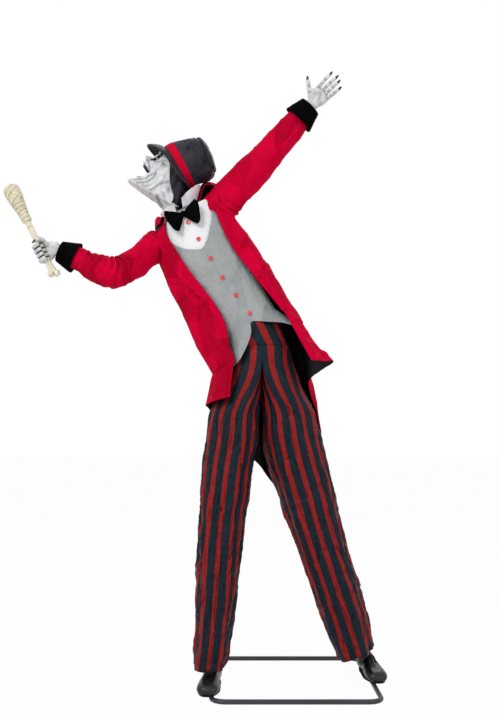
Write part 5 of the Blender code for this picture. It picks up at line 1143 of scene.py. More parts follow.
# Slush latex: pale grey, soft and slightly waxy, with painted shade that darkens the folds and fills the eye
# sockets with black. Pores of 1 mm, and a few faint red veins.
grey_latex, tree = empty_material("painted_slush_latex")
spot = add(tree, "TexCoord", {}).outputs["Object"]
skin_shade = add(tree, "Attribute", {}, attribute_name="shade")
mottle = add(tree, "TexNoise", {"Vector": spot, "Scale": 46, "Detail": 6, "Roughness": 0.62})
mottled = add(tree, "MapRange", {0: mottle.outputs[0], 1: 0.35, 2: 0.62})
pale = add(
    tree, "Mix", {0: mottled.outputs[0], 6: colour("#CDCED1"), 7: colour("#F0F0F1")}, data_type="RGBA",
)
edge = add(tree, "Math", {0: mottle.outputs[0], 1: 0.6, 2: 0.70}, operation="MULTIPLY_ADD")
patchy_fold_shade = add(
    tree, "Math", {0: skin_shade.outputs["Fac"], 1: edge.outputs[0]}, operation="MULTIPLY", use_clamp=True,
)
# Painted shade: darker grey in the folds, uneven along them
fold_shaded_skin = add(tree, "Mix", {0: patchy_fold_shade.outputs[0], 6: pale.outputs[2], 7: colour("#44464B")}, data_type="RGBA")
# Painted shade: black in the eye sockets
socket = add(tree, "MapRange", {0: skin_shade.outputs["Fac"], 1: 0.95, 2: 1.12})
veins = add(tree, "TexNoise", {"Vector": spot, "Scale": 70, "Detail": 3, "Distortion": 2.2})
vein = add(tree, "MapRange", {0: veins.outputs[0], 1: 0.68, 2: 0.74, 4: 0.5})
veined = add(tree, "Mix", {0: vein.outputs[0], 6: fold_shaded_skin.outputs[2], 7: colour("#B05A58")}, data_type="RGBA")
skin_tone = add(
    tree, "Mix", {0: socket.outputs[0], 6: veined.outputs[2], 7: colour("#060607")}, data_type="RGBA",
)
pores = add(tree, "TexVoronoi", {"Vector": spot, "Scale": 900})
pored = add(tree, "Bump", {"Height": pores.outputs["Distance"], "Strength": 0.25, "Distance": 0.0006})
lined = add(
    tree, "Bump", {
        "Height": mottle.outputs[0], "Strength": 0.35, "Distance": 0.003, "Normal": pored.outputs[0],
    }
)
waxy = add(
    tree, "BsdfPrincipled",
    {
        "Base Color": skin_tone.outputs[2], "Roughness": 0.5, "Specular IOR Level": 0.25,
        "Subsurface Weight": 0.08,
        "Subsurface Radius": (0.004, 0.003, 0.003), "Normal": lined.outputs[0],
    },
)
add(tree, "OutputMaterial", {"Surface": waxy.outputs[0]})

mask = draped(240, 100, face_point, 0.3, 0.12)
sockets = [
    f for f in mask.faces
    if any(
        (f.calc_center_median() - in_head(EYE[0], side * EYE[1], EYE[2])).length < 0.0142 for side in (-1, 1)
    )
    and abs((f.calc_center_median() - NECK).dot(CROWN) - EYE[2] + 0.001) < 0.0088
]
bmesh.ops.delete(mask, geom=sockets, context="FACES")
join(mask, draped(240, 78, lower_skin(0, 4.15, 0), 0.3, 0.1))
piece("latex_mask", paint_skin_shade(mask), MOUTH_BLEND, [grey_latex], ["mask", "jaw"], wall=0.0022)
piece(
    "latex_throat", paint_skin_shade(draped(110, 50, lower_skin(3.6, 5, 0.0032), 0.3, 0.1)),
    ("torso", "head", in_head(-0.040, 0, -0.045), in_head(0.035, 0, -0.045)), [grey_latex],
    ["throat"], wall=0.0022,
)


# Mouth: a black latex pocket between the lips, gums of glossy black rubber, and small crooked yellow teeth.

# Black rubber: wet-looking gloss over uneven black, with a little dark red in the hollows.
black_rubber = painted(
    "glossy_black_rubber", ("#020202", "#150A0B"), {"Scale": 120, "Detail": 4},
    {"Roughness": 0.3, "Specular IOR Level": 0.3}, broad=(0.5, 0.002),
)
# Old teeth: yellowed resin, darker and browner where it meets the gum.
old_teeth = painted(
    "yellowed_resin", ("#C09A4C", "#F4E3A8"), {"Scale": 260, "Detail": 4}, {"Roughness": 0.28},
)


def mouth_pocket(across, up):
    reach, hand = abs(2 * across - 1) * MOUTH_CORNER, (1 if across > 0.5 else -1)
    at = face_point(0.5 + reach / 2, 0.0) - NECK
    top = Vector((at.dot(FACE), abs(at.dot(FRONT)), at.dot(CROWN)))
    place = top.lerp(row_point(LOWER_LIP, reach), up) - Vector((0.002, 0.002 * (reach > 0), 0))
    depth = (place.x - 0.074) * sin(pi * up) ** 0.55 * ease(0, 0.25, MOUTH_CORNER - reach)
    return in_head(place.x - depth, hand * place.y * (1 - 0.10 * sin(pi * up)), place.z + 0.004 * (0.5 - up))


piece("mouth_pocket", draped(60, 40, mouth_pocket, 0.1, 0.1), MOUTH_BLEND, [black_rubber])


def make_teeth(name, path, height, thickness, upwards, count, length, root, body, node):
    """A gum swept along the row, with a peg for each tooth. Pegs differ a little in length and lean."""
    at, total = tube_along(path, upwards)

    def gum(across, up):
        turn, end = 2 * pi * across, min(1.0, 8 * min(up, 1 - up)) ** 0.5
        middle, tall, thick = at(total * up)
        scallop = 1 + 0.10 * sin(2 * pi * count * up)
        return middle + tall * height * end * scallop * cos(turn) + thick * thickness * end * sin(turn)

    piece(
        name.replace("teeth", "gum"), draped(20, 110, gum, 0.1, 0.1), body, [black_rubber],
        smooth=1,
    )
    pegs = bmesh.new()
    for number in range(count):
        middle, tall, thick = at(total * (number + 0.5) / count)
        outwards = thick if thick.dot(middle - in_head(0.09, 0, 0)) > 0 else -thick
        lean = noise.noise(Vector((number * 3.7, height * 900, 0.3)))
        long = length * (1 + 0.5 * lean)
        wide = total / count * 0.46
        shape = [(wide * w, long * h) for w, h in ((0.8, 0), (1, 0.35), (0.85, 0.75), (0.45, 0.97), (0, 1))]
        axis = (tall + outwards * (0.25 + lean * 0.5)).normalized()
        peg = turned(shape, (0, 0, 0), UP, 10)
        for point in peg.verts:
            point.co.y *= 0.55
        peg.transform(
            place_at(middle + tall * height * root + outwards * thickness * 1.15, axis, tall.cross(thick))
        )
        join(pegs, peg)
    piece(name, pegs, body, [old_teeth], [node], smooth=1)


def mirrored(half):
    return [in_head(f, s, u) for f, s, u in half] + [in_head(f, -s, u) for f, s, u in reversed(half)]


make_teeth(
    "upper_mouth_teeth",
    mirrored(
        [(0.104, 0.041, 0.004), (0.126, 0.037, 0.0045), (0.145, 0.027, 0.0045), (0.1565, 0.010, 0.0045)]
    ),
    0.0088, 0.0054, -CROWN, 24, 0.0052, -0.25, "head", "upper_teeth",
)
make_teeth(
    "lower_mouth_teeth",
    mirrored(
        [(0.098, 0.040, -0.027), (0.114, 0.035, -0.040), (0.130, 0.023, -0.0525), (0.1385, 0.007, -0.058)]
    ),
    0.0066, 0.0042, CROWN - FACE * 0.4, 20, 0.0042, 0.65, "jaw", "lower_teeth",
)


# Eyes: dark glossy balls, each with a small red lamp behind a clear window that looks down and outwards.

lit_eye, tree = empty_material("dark_eye_with_red_lamp")
spot = add(tree, "TexCoord", {})
lamp_at = add(tree, "Attribute", {}, attribute_name="lamp")
near_lamp = add(tree, "MapRange", {0: lamp_at.outputs["Fac"], 1: 0.80, 2: 0.90})
hot = add(tree, "MapRange", {0: lamp_at.outputs["Fac"], 1: 0.93, 2: 0.99})
veil = add(tree, "TexNoise", {"Vector": spot.outputs["Object"], "Scale": 300, "Detail": 2})
dark_ball = add(
    tree, "Mix", {0: veil.outputs[0], 6: colour("#050304"), 7: colour("#1A0708")}, data_type="RGBA",
)
glow = add(tree, "Mix", {0: hot.outputs[0], 6: colour("#C8203A"), 7: colour("#FFF0F0")}, data_type="RGBA")
strength = add(tree, "Math", {0: near_lamp.outputs[0], 1: 1.1}, operation="MULTIPLY")
ball = add(
    tree, "BsdfPrincipled",
    {
        "Base Color": dark_ball.outputs[2], "Roughness": 0.12, "Specular IOR Level": 0.2,
        "Emission Color": glow.outputs[2], "Emission Strength": strength.outputs[0],
    },
)
add(tree, "OutputMaterial", {"Surface": ball.outputs[0]})


def ball_profile(radius, steps):
    return [(radius * sin(pi * k / steps), -radius * cos(pi * k / steps)) for k in range(steps + 1)]


for name, side in (("right_eye", 1), ("left_eye", -1)):
    looks = (FACE * 0.52 + FRONT * side * 0.62 - CROWN * 0.60).normalized()
    middle = in_head(EYE[0], side * EYE[1], EYE[2])
    eyeball = turned(ball_profile(0.0129, 24), middle, looks, 36)
    lit = [ease(0.86, 1.0, (point.co - middle).normalized().dot(looks)) for point in eyeball.verts]
    keep_shade(eyeball, lit, "lamp")
    piece(name + "_with_lamp", eyeball, "head", [lit_eye], [name])


# Hood: a loose cloth behind the face, of the hat's own satin. It hangs from inside the hat, down the nape
# and into the collar, in soft upright folds.

# Costume satin: charcoal with a crumpled dull shine, threads drawn at 1.2 mm.
charcoal_satin = woven_cloth("charcoal_costume_satin", "#1B191F", "#37353E", 0.0012, 0.5, 0.14, 1.2)
# Its lower edge, by the turn from the face: forward, aside and up in the head
HOOD_EDGE = (
    (74, 0.083, 0.0772, 0.078), (92, 0.050, 0.0790, 0.050), (112, 0.020, 0.0755, 0.026),
    (135, -0.026, 0.0665, 0.004), (155, -0.062, 0.0520, -0.002), (168, -0.070, 0.0300, 0.020),
    (180, -0.071, 0.000, 0.036),
)


def hood_point(across, up):
    turn = 74 + 212 * across
    mirror, hand = (turn, 1) if turn <= 180 else (360 - turn, -1)
    low = row_point(HOOD_EDGE, mirror)
    level = 0.100
    wide, back = between(SIDE_OUT, level) + 0.003, 0.070
    angle = radians(mirror)
    high = Vector((0.055 + (0.100 if cos(angle) > 0 else back) * cos(angle), wide * sin(angle), level))
    at = low.lerp(high, up)
    pleat = (0.0026 * sin(radians(mirror) * 13 + 2.2 * up) + 0.0016) * (1 - up) ** 0.6
    hollow = -0.004 * swell(mirror, 122, 9) * sin(pi * min(1.0, up * 1.4))
    out = Vector((cos(angle), sin(angle), 0)) * (
        pleat + hollow + crease((at.x * 20, at.y * 20, at.z * 14), 0.003)
    )
    return in_head(at.x + out.x, hand * (at.y + out.y), at.z)


piece(
    "satin_hood", draped(150, 70, hood_point, 0.4, 0.15),
    ("torso", "head", in_head(-0.075, 0, 0.0), in_head(0.020, 0, 0.030)), [charcoal_satin],
    ["hood"],
    wall=0.0014, folds=0.8,
)


# Top hat: soft satin over thin foam. The crown leans back and has sunk in at its end, a red ribbon runs
# round it, and the brim droops over the brow and hangs down at the sides.

HAT_AXIS = CROWN * cos(radians(10)) - FACE * sin(radians(10))
HAT_FRONT = FACE * cos(radians(10)) + CROWN * sin(radians(10))
HAT = NECK + FACE * 0.0693 + CROWN * 0.1007
# The crown from its lower edge to the middle of its top: height, radius, and how far the middle leans back
HAT_ROWS = (
    (-0.016, 0.0935, 0.0), (0.0, 0.0935, 0.0), (0.034, 0.0950, 0.003), (0.068, 0.0978, 0.010),
    (0.100, 0.0930, 0.016), (0.1270, 0.0770, 0.014), (0.1410, 0.0420, 0.004), (0.1430, 0.0, 0.002),
)
HAT_NARROWING = 0.87
HAT_CURVES = curves([(number, *row) for number, row in enumerate(HAT_ROWS)])


def hat_point(turn, height, radius, back=0.0):
    """A place round the hat. Turn 0 is over the brow, and a quarter turn is the side towards the viewer."""
    along = HAT_FRONT * (radius * cos(turn) - back)
    return HAT + HAT_AXIS * height + along + FRONT * HAT_NARROWING * radius * sin(turn)


def crown_point(across, up):
    turn, row = 2 * pi * across, 7 * up
    height, radius, back = [between(curve, row) for curve in HAT_CURVES]
    at = hat_point(turn, height, radius, back)
    loose = ease(1.8, 3.0, row)
    dent = crease((at.x * 11, at.y * 11, at.z * 11), 0.0075, 3.0)
    dent += packed_crease((at.x * 17, at.y * 14, at.z * 16), 0.0040, 6.0)
    bend = degrees(turn)
    ridge = 0.0022 * exp(-(((row - 5.15 - 0.25 * sin(turn * 2)) / 0.26) ** 2))
    ditch = 0.0060 * exp(-(((row - 4.66 - 0.25 * sin(turn * 2)) / 0.16) ** 2)) * (0.55 + 0.45 * sin(turn))
    dimple = 0.0130 * exp(-(((bend - 122) / 17) ** 2) - ((row - 4.1) / 0.42) ** 2)
    dimple += 0.0080 * exp(-(((bend - 70) / 14) ** 2) - ((row - 3.2) / 0.5) ** 2)
    sunk = (loose * (dent - 0.003) + ridge - ditch - dimple) * ease(7, 6, row)
    flat = at - HAT - HAT_AXIS * (height - 0.3 * radius)
    return at + flat.normalized() * sunk


piece(
    "soft_hat_crown", draped(150, 120, crown_point, 0.6, 0.2), "head", [charcoal_satin],
    ["hat_crown"],
    wall=0.0018, folds=1.1,
)

# Ribbon: a tight red satin weave, its 0.5 mm ribs drawn at 1.5 mm.
red_ribbon = woven_cloth("red_satin_ribbon", "#B80026", "#D80030", 0.0015, 0.6, 0.06, 0.3)


def ribbon_point(across, up):
    turn = 2 * pi * across
    edge = 1 - abs(2 * up - 1)
    pucker = 0.0007 * sin(turn * 9 + 2) * (1 - edge) + 0.0004 * sin(turn * 23)
    radius = 0.0949 + 0.0016 * up + 0.0008 * min(1.0, edge * 8) + pucker
    return hat_point(turn, -0.0045 + (0.0300 + 0.0030 * cos(turn)) * up, radius, 0.002 * up)


piece(
    "hat_ribbon", draped(160, 16, ribbon_point, 0.6, 0.03), "head", [red_ribbon], ["hat_band"],
    wall=0.0010,
)


def brim_point(across, up):
    turn = 2 * pi * across
    front, back, side = max(0.0, cos(turn)), max(0.0, -cos(turn)), sin(turn) ** 2
    droop = 0.014 * back - 0.050 * front**2 - 0.017 * side
    roll = -0.0035 * ease(0.85, 1.0, up)
    wave = 0.0032 * sin(turn * 5 + 1) * up * side + crease(
        (cos(turn) * 2, sin(turn) * 2, up * 2), 0.003, 5.0,
    ) * up
    reach = (0.0955 if up < 0.1 else 0.0945) + (0.040 - 0.005 * side) * up
    return hat_point(turn, -0.0098 + droop * up**1.5 + roll + wave, reach)


piece(
    "soft_hat_brim", draped(170, 36, brim_point, 0.7, 0.05), "head", [charcoal_satin],
    ["hat_brim"],
    wall=0.0030, facing=HAT_AXIS,
)


# Hands: hollow latex casts of long-fingered hands, with painted shade in the joints, the palm's lines and
# the gaps between the fingers, and long pointed black nails. The left one is open, and the right one is
# glued round the torch. Each is pushed over a plug on its arm.


def joined(meshes):
    for more in meshes[1:]:
        join(meshes[0], more)
    return meshes[0]


def limb(points, sizes, side=FRONT, columns=26, rows=64):
    """A round-ended tube along a path. A size is half its width, towards the side, and half its depth."""
    at, length = tube_along(points, side)
    steps = [(b - a).length for a, b in zip(points, points[1:])]
    runs = [sum(steps[:k]) for k in range(len(points))]
    wide, shaded_tone = curves([(run, *size) for run, size in zip(runs, sizes)])

    def place(across, up):
        turn, run = 2 * pi * across, length * (1 - cos(pi * up)) / 2
        half, thick = between(wide, run), between(shaded_tone, run)
        near, far = min(1.0, run / thick), min(1.0, (length - run) / thick)
        blunt = ((1 - (1 - near) ** 2) * (1 - (1 - far) ** 2)) ** 0.5
        middle, first, second = at(run)
        return middle + (first * half * cos(turn) + second * thick * sin(turn)) * blunt

    return draped(columns, rows, place, 1, 1)


def cast_skin(parts, detail, soften):
    """One closed skin over solid parts that overlap, softened where they meet."""
    whole = joined(parts)
    bmesh.ops.remove_doubles(whole, verts=whole.verts, dist=2e-5)
    bmesh.ops.recalc_face_normals(whole, faces=whole.faces)
    data = bpy.data.meshes.new("core")
    whole.to_mesh(data)
    core = bpy.data.objects.new("core", data)
    scene.collection.objects.link(core)
    skin = core.modifiers.new("skin", "REMESH")
    skin.mode = "VOXEL"
    skin.voxel_size = detail
    bpy.context.view_layer.update()
    whole.clear()
    whole.from_mesh(core.evaluated_get(bpy.context.evaluated_depsgraph_get()).data)
    bpy.data.objects.remove(core)
    for _ in range(soften):
        bmesh.ops.smooth_vert(
            whole, verts=whole.verts, factor=0.5, use_axis_x=True, use_axis_y=True, use_axis_z=True,
        )
    whole.normal_update()
    return whole


def marked(mesh, marks, lumps):
    """Sinks a skin along short lines and darkens it there with painted shade: (start, end, width, depth,
    darkness).
    """
    moved, painting = [], []
    for point in mesh.verts:
        sunk, dark = 0.0, 0.0
        for start, end, width, depth, darkness in marks:
            line = end - start
            share = max(0.0, min(1.0, (point.co - start).dot(line) / max(line.length_squared, 1e-9)))
            away = (point.co - start - line * share).length / width
            if away < 3:
                sunk += depth * exp(-away * away)
                dark = max(dark, darkness * exp(-away * away * 0.8))
        rough = crease(point.co * 42, lumps, 3.0)
        painting.append(dark)
        moved.append(point.co + point.normal * (rough - sunk))
    for point, place in zip(mesh.verts, moved):
        point.co = place
    return keep_shade(mesh, painting)


# Nail polish: black, hard and glossy, with faint brush streaks.
nail_polish = painted(
    "black_nail_polish", ("#060607", "#141416"), {"Scale": 420, "Detail": 2},
    {"Roughness": 0.22, "Coat Weight": 0.4},
    broad=(0.15, 0.0005),
)


def nail(root, tip, half, out):
    """A long nail, blunt at its root and pointed at its tip, thin across."""
    along = tip - root
    side = along.cross(out).normalized()
    points = [root, root + along * 0.35 + out * 0.0006, root + along * 0.7 + out * 0.0004, tip]
    sizes = ((half, 0.0024), (half, 0.0022), (half * 0.80, 0.0017), (half * 0.26, 0.0009))
    return limb(points, sizes, side, 16, 20)


FINGER = 0.0094
LEFT_REACH = Vector((LEFT_ALONG.x, 0, LEFT_ALONG.z)).normalized()
THUMBWARDS = Vector((-LEFT_REACH.z, 0, LEFT_REACH.x))
# The open hand: base, middle and tip of each finger, along the hand and towards the thumb
OPEN_FINGERS = (
    ((0.062, 0.0275), (0.108, 0.0305), (0.137, 0.0302)),
    ((0.064, 0.0095), (0.112, 0.0072), (0.143, 0.0045)),
    ((0.061, -0.0090), (0.106, -0.0118), (0.135, -0.0138)),
    ((0.055, -0.0260), (0.094, -0.0315), (0.119, -0.0345)),
    ((0.018, 0.0200), (0.044, 0.0555), (0.0625, 0.0790)),
)


def open_palm(along, thumb, forward=0.0):
    return LEFT_WRIST + LEFT_REACH * along + THUMBWARDS * thumb + FRONT * forward


parts = [
    limb(
        [
            open_palm(*at)
            for at in ((-0.030, 0), (0.000, 0.001), (0.018, 0.002), (0.045, 0.002), (0.074, 0.001))
        ],
        ((0.020, 0.015), (0.023, 0.016), (0.029, 0.0145), (0.037, 0.0125), (0.034, 0.0085)), THUMBWARDS, 40,
        60,
    ),
    limb(
        [open_palm(*at) for at in ((0.012, 0.010, 0.004), (0.036, 0.026, 0.004), (0.048, 0.046, 0.002))],
        ((0.013, 0.012), (0.0125, 0.0125), (0.009, 0.009)), THUMBWARDS,
    ),
    limb(
        [open_palm(0.014, -0.014, 0.003), open_palm(0.050, -0.020, 0.003)],
        ((0.010, 0.011), (0.010, 0.0095)), THUMBWARDS,
    ),
]
marks, nails = [], []
for number, ((a0, b0), (a1, b1), (a2, b2)) in enumerate(OPEN_FINGERS):
    first, middle, last = open_palm(a0, b0), open_palm(a1, b1, 0.003), open_palm(a2, b2, 0.006)
    thick = FINGER * (1.12 if number == 4 else 0.94 if number == 3 else 1.0)
    half_way = first.lerp(middle, 0.5)
    points = [first, half_way, middle, middle.lerp(last, 0.55), last]
    widths = [thick * k for k in (1.08, 0.92, 0.95, 0.80, 0.70)]
    parts.append(limb(points, [(w, w * 0.92) for w in widths]))
    onward = (last - middle).normalized()
    across = onward.cross(FRONT).normalized()
    # Painted shade across each joint, on both faces of the finger
    joints = [(first.lerp(half_way, 0.35), 0.85), (half_way, 0.8), (middle, 0.8)]
    for joint, dark in joints[(1 if number == 4 else 0) :]:
        for face in (1, -1):
            at = joint + FRONT * face * thick * 0.92
            marks.append((at - across * thick * 0.7, at + across * thick * 0.7, 0.0016, 0.0008, dark))
            marks.append((at, at + onward * 0.002, 0.0055, 0.0, 0.42))
    root, tip = last - onward * 0.006 - FRONT * 0.0035, last + onward * 0.0150 - FRONT * 0.0005
    nails.append(nail(root, tip, 0.0054, -FRONT))
# Painted shade in the webs between the fingers
for k in range(3):
    low, high = OPEN_FINGERS[k][0], OPEN_FINGERS[k + 1][0]
    web = open_palm((low[0] + high[0]) / 2 + 0.004, (low[1] + high[1]) / 2, 0.006)
    marks.append((web, web + LEFT_REACH * 0.012, 0.0022, 0.0004, 0.9))
# Lines of the palm, sunk and darkened with painted shade
palm_lines = (
    (((0.072, 0.036), (0.069, 0.012), (0.065, -0.012), (0.055, -0.034)), 0.0015, 0.0009, 0.75),
    (((0.058, 0.034), (0.047, 0.016), (0.030, 0.004), (0.008, 0.002)), 0.0014, 0.0010, 0.50),
    (((0.048, -0.036), (0.053, -0.016), (0.060, 0.004), (0.066, 0.018)), 0.0013, 0.0007, 0.35),
    (((0.060, 0.006), (0.040, -0.006)), 0.0075, 0.0012, 0.34),
    (((0.034, -0.010), (0.028, -0.020)), 0.0085, 0.0008, 0.30),
    (((0.038, 0.024), (0.030, 0.020)), 0.0070, 0.0003, 0.30),
)
for line, width, depth, dark in palm_lines:
    for (a, b), (c, d) in zip(line, line[1:]):
        marks.append((open_palm(a, b, 0.0115), open_palm(c, d, 0.0115), width, depth, dark))
        marks.append(
            (open_palm(a, b, -0.0115), open_palm(c, d, -0.0115), width * 2, depth * 0.5, dark * 0.5)
        )
piece(
    "open_latex_hand", marked(cast_skin(parts, 0.0012, 6), marks, 0.0005), "left_arm",
    [grey_latex],
    ["left_hand"],
)
piece("open_hand_nails", joined(nails), "left_arm", [nail_polish])

TORCH = Vector((-sin(radians(27)), 0, cos(radians(27))))
TORCH_OUT = Vector((-TORCH.z, 0, TORCH.x))
GRIP = Vector((-0.965, -0.140, 1.688))
HOLD = 0.0128


def round_torch(turn, radius, height):
    """A place by its turn round the torch, in degrees from behind it, and by its height above the grip."""
    at = GRIP + TORCH * height - FRONT * radius * cos(radians(turn))
    return at + TORCH_OUT * radius * sin(radians(turn))


knuckle = GRIP + TORCH_OUT * 0.010
knuckle.y = GRIP.y + HOLD + 0.0122
parts = [
    limb(
        [
            RIGHT_WRIST - RIGHT_LOWER * 0.030, RIGHT_WRIST, RIGHT_WRIST + RIGHT_LOWER * 0.024,
            knuckle - TORCH_OUT * 0.020, knuckle,
        ],
        ((0.020, 0.015), (0.022, 0.017), (0.030, 0.014), (0.038, 0.0116), (0.037, 0.0105)), TORCH, 40, 60,
    )
]
marks, nails = [], []
for height in (0.0280, 0.0093, -0.0093, -0.0280):
    radius = HOLD + FINGER * 0.95
    points = [round_torch(turn, radius, height) for turn in (8, 48, 90, 132, 170, 196)]
    sizes = [(FINGER * k * 1.04, FINGER * k * 0.95) for k in (1.0, 1.0, 1.0, 0.98, 0.92, 0.80)]
    parts.append(limb(points, sizes, TORCH))
    # Painted shade at the joints of the gripping fingers
    for turn in (52, 112, 152):
        at = round_torch(turn, HOLD + 2 * FINGER * 0.95, height)
        marks.append((at - TORCH * 0.005, at + TORCH * 0.005, 0.0014, 0.0007, 0.6))
    root, tip = round_torch(186, HOLD + FINGER * 1.6, height), round_torch(
        238, HOLD + FINGER * 1.15, height - 0.001,
    )
    nails.append(nail(root, tip, 0.0036, FRONT))
# Painted shade, black, in the gaps between the gripping fingers
for height in (0.01865, 0.0, -0.01865):
    for low, high in ((20, 60), (60, 100), (100, 140), (140, 180)):
        radius = HOLD + FINGER * 1.35
        marks.append(
            (round_torch(low, radius, height), round_torch(high, radius, height), 0.0036, 0.0010, 1.25)
        )
thumb = ((330, 0.028), (290, 0.036), (245, 0.043), (200, 0.0465), (165, 0.048))
THUMB = 0.0087
points = [round_torch(turn, HOLD + THUMB, height) for turn, height in thumb]
parts.append(limb(points, [(THUMB * k, THUMB * k) for k in (1.15, 1.05, 0.98, 0.95, 0.78)], TORCH))
web = round_torch(300, 0.030, 0.024)
points = [knuckle - TORCH_OUT * 0.030 + TORCH * 0.020, web, round_torch(280, 0.022, 0.034)]
parts.append(limb(points, ((0.013, 0.011), (0.012, 0.010), (0.009, 0.009)), TORCH))
nails.append(
    nail(round_torch(176, HOLD + 0.0140, 0.0478), round_torch(112, HOLD + 0.0110, 0.0472), 0.0042, FRONT)
)
# Painted shade at the thumb's joints
for turn, height in ((262, 0.041), (214, 0.046)):
    at = round_torch(turn, HOLD + 0.0165, height)
    marks.append((at - TORCH * 0.006, at + TORCH * 0.006, 0.0015, 0.0008, 0.55))
# Grooves on the back of the hand, darkened with painted shade
back_of_hand = ((0.030, 0.018), (0.012, 0.006), (-0.006, -0.006), (-0.024, -0.020))
for high, low in back_of_hand:
    start = knuckle + TORCH * high * 0.9 - TORCH_OUT * 0.004 - FRONT * 0.010
    marks.append(
        (start, RIGHT_WRIST + RIGHT_LOWER * 0.020 + TORCH * low - FRONT * 0.012, 0.0035, 0.0008, 0.30)
    )
# Painted shade in a hollow of the hand
hollow = round_torch(250, 0.026, 0.010)
marks.append((hollow, hollow - TORCH * 0.030 - TORCH_OUT * 0.004, 0.0075, 0.0015, 0.75))
piece(
    "gripping_latex_hand", marked(cast_skin(parts, 0.0012, 5), marks, 0.0005), "right_forearm",
    [grey_latex], ["right_hand"],
)
piece("gripping_hand_nails", joined(nails), "right_forearm", [nail_polish])


# Torch: a resin bone for a handle, with two knuckles at its end, and a head of cotton strips wound round it:
# level turns at the neck, and steep ones over the top, glued down and stiff.
TORCH_FOOT = GRIP - TORCH * 0.100
WRAP_START = 0.228
WRAP_LENGTH = 0.160
# Cast bone: cream resin, with painted shade in brown in its cleft and grooves, 4 mm pits.
bone_resin = painted(
    "painted_bone_resin", ("#FDF8E6", "#EADFBC"), {"Scale": 55, "Detail": 6, "Roughness": 0.6},
    {"Roughness": 0.5, "Specular IOR Level": 0.3}, spread=(0.35, 0.7), shade="#8E7B4C", broad=(0.3, 0.002),
)
shaft = (
    (0, 0.004), (0.0100, 0.0045), (0.0150, 0.009), (0.0168, 0.016), (0.0150, 0.028), (0.0128, 0.044),
    (0.0122, 0.070), (0.0124, 0.120), (0.0125, 0.170), (0.0127, 0.205), (0.0127, 0.352), (0, 0.352),
)
parts = [turned(shaft, TORCH_FOOT, TORCH, 40, FRONT)]
for side in (-1, 1):
    lobe = TORCH_FOOT + TORCH_OUT * side * 0.0100 + TORCH * (0.008 + 0.004 * side)
    parts.append(turned(ball_profile(0.0140, 20), lobe, TORCH, 36, FRONT))
cleft = TORCH_FOOT - TORCH * 0.008
# Painted shade in the cleft between the knuckles and along grooves of the shaft, and one dark line across
# its front
marks = [
    (cleft + FRONT * 0.014, cleft + FRONT * 0.010 + TORCH * 0.024, 0.0030, 0.0022, 0.75),
    (cleft - FRONT * 0.014, cleft - FRONT * 0.010 + TORCH * 0.024, 0.0030, 0.0022, 0.75),
    (GRIP + FRONT * 0.0125 + TORCH * 0.060, GRIP + FRONT * 0.0125 + TORCH * 0.130, 0.0022, 0.0006, 0.25),
    (GRIP + FRONT * 0.0125 - TORCH * 0.080, GRIP + FRONT * 0.0125 - TORCH * 0.040, 0.0026, 0.0008, 0.35),
    (
        GRIP + FRONT * 0.010 + TORCH_OUT * 0.008 + TORCH * 0.105,
        GRIP + FRONT * 0.012 - TORCH_OUT * 0.006 + TORCH * 0.107, 0.004, 0, 0.4,
    ),
]
piece(
    "resin_bone_handle", marked(cast_skin(parts, 0.0012, 6), marks, 0.0007), "right_forearm",
    [bone_resin], ["torch_handle"],
)

# Cotton strips: torn cream cloth, stiff with glue, each strip a little lighter or darker than the next, with
# painted shade where one strip runs under the next. Threads drawn at 1.2 mm.
torn_cotton = painted(
    "torn_cotton_strips", ("#FBF5DE", "#E6DCB6"), {"Scale": 60, "Detail": 5},
    {"Roughness": 0.75, "Specular IOR Level": 0.2}, spread=(0.35, 0.65), shade="#8C7D50", broad=(0.6, 0.006),
    fine=("TexWave", {"Scale": 262}, {"bands_direction": "DIAGONAL"}, 0.25, 0.0006),
)
WRAP = (
    (0, 0.0128), (0.02, 0.0162), (0.10, 0.0172), (0.22, 0.0186), (0.34, 0.0212), (0.50, 0.0250),
    (0.66, 0.0288), (0.80, 0.0306), (0.90, 0.0290), (0.96, 0.0225), (0.985, 0.0140), (1, 0),
)


def strip_relief(across, up):
    """How far the wound strips stand out there, and how dark: painted shade at the strip edges, plus each
    strip's tone.
    """
    height = WRAP_LENGTH * up
    level, steep = height / 0.0150 + across, height / 0.0240 + 4 * across
    over = ease(0.076, 0.084, height + 0.008 * sin(2 * pi * across))
    wave = 0.14 * sin(2 * pi * across * 3 + 2 * level)
    phase = steep + wave if over > 0.5 else level + wave * 0.4
    share = phase % 1.0
    tone = 0.5 + 0.5 * sin((phase - share) * 12.9898)
    edge = ease(0.0, 0.10, share) * ease(1.0, 0.93, share)
    # Painted shade near both edges of a strip, and a tone of its own for each strip
    dark = 0.52 * exp(-share / 0.06) + 0.22 * exp(-(1 - share) / 0.04) + 0.12 * tone
    return 0.0024 * edge * (1.15 - 0.5 * share) + 0.0006 * over, dark


def wrap_point(across, up):
    turn = 2 * pi * across
    out, _ = strip_relief(across, up)
    round_head = FRONT * cos(turn) + TORCH_OUT * sin(turn)
    lump = crease((cos(turn) * 1.3, sin(turn) * 1.3, up * 6), 0.0022, 5.0) * ease(0.2, 0.5, up)
    bulge = (out + lump) * ease(0, 0.02, up) * ease(1, 0.96, up)
    radius = max(0.0, between(WRAP, up) - 0.0004 - 0.0016 * up + bulge)
    return TORCH_FOOT + TORCH * (WRAP_START + WRAP_LENGTH * up) + round_head * radius


wrap = draped(280, 240, wrap_point, 1, 1)
wrap.verts.index_update()
strip_shade_and_tone = [0.0] * len(wrap.verts)
for corner in (loop for face in wrap.faces for loop in face.loops):
    strip_shade_and_tone[corner.vert.index] = strip_relief(*corner[wrap.loops.layers.uv.active].uv)[1]
keep_shade(wrap, strip_shade_and_tone)
piece("wound_cotton_head", wrap, "right_forearm", [torn_cotton], ["torch_wrap"])


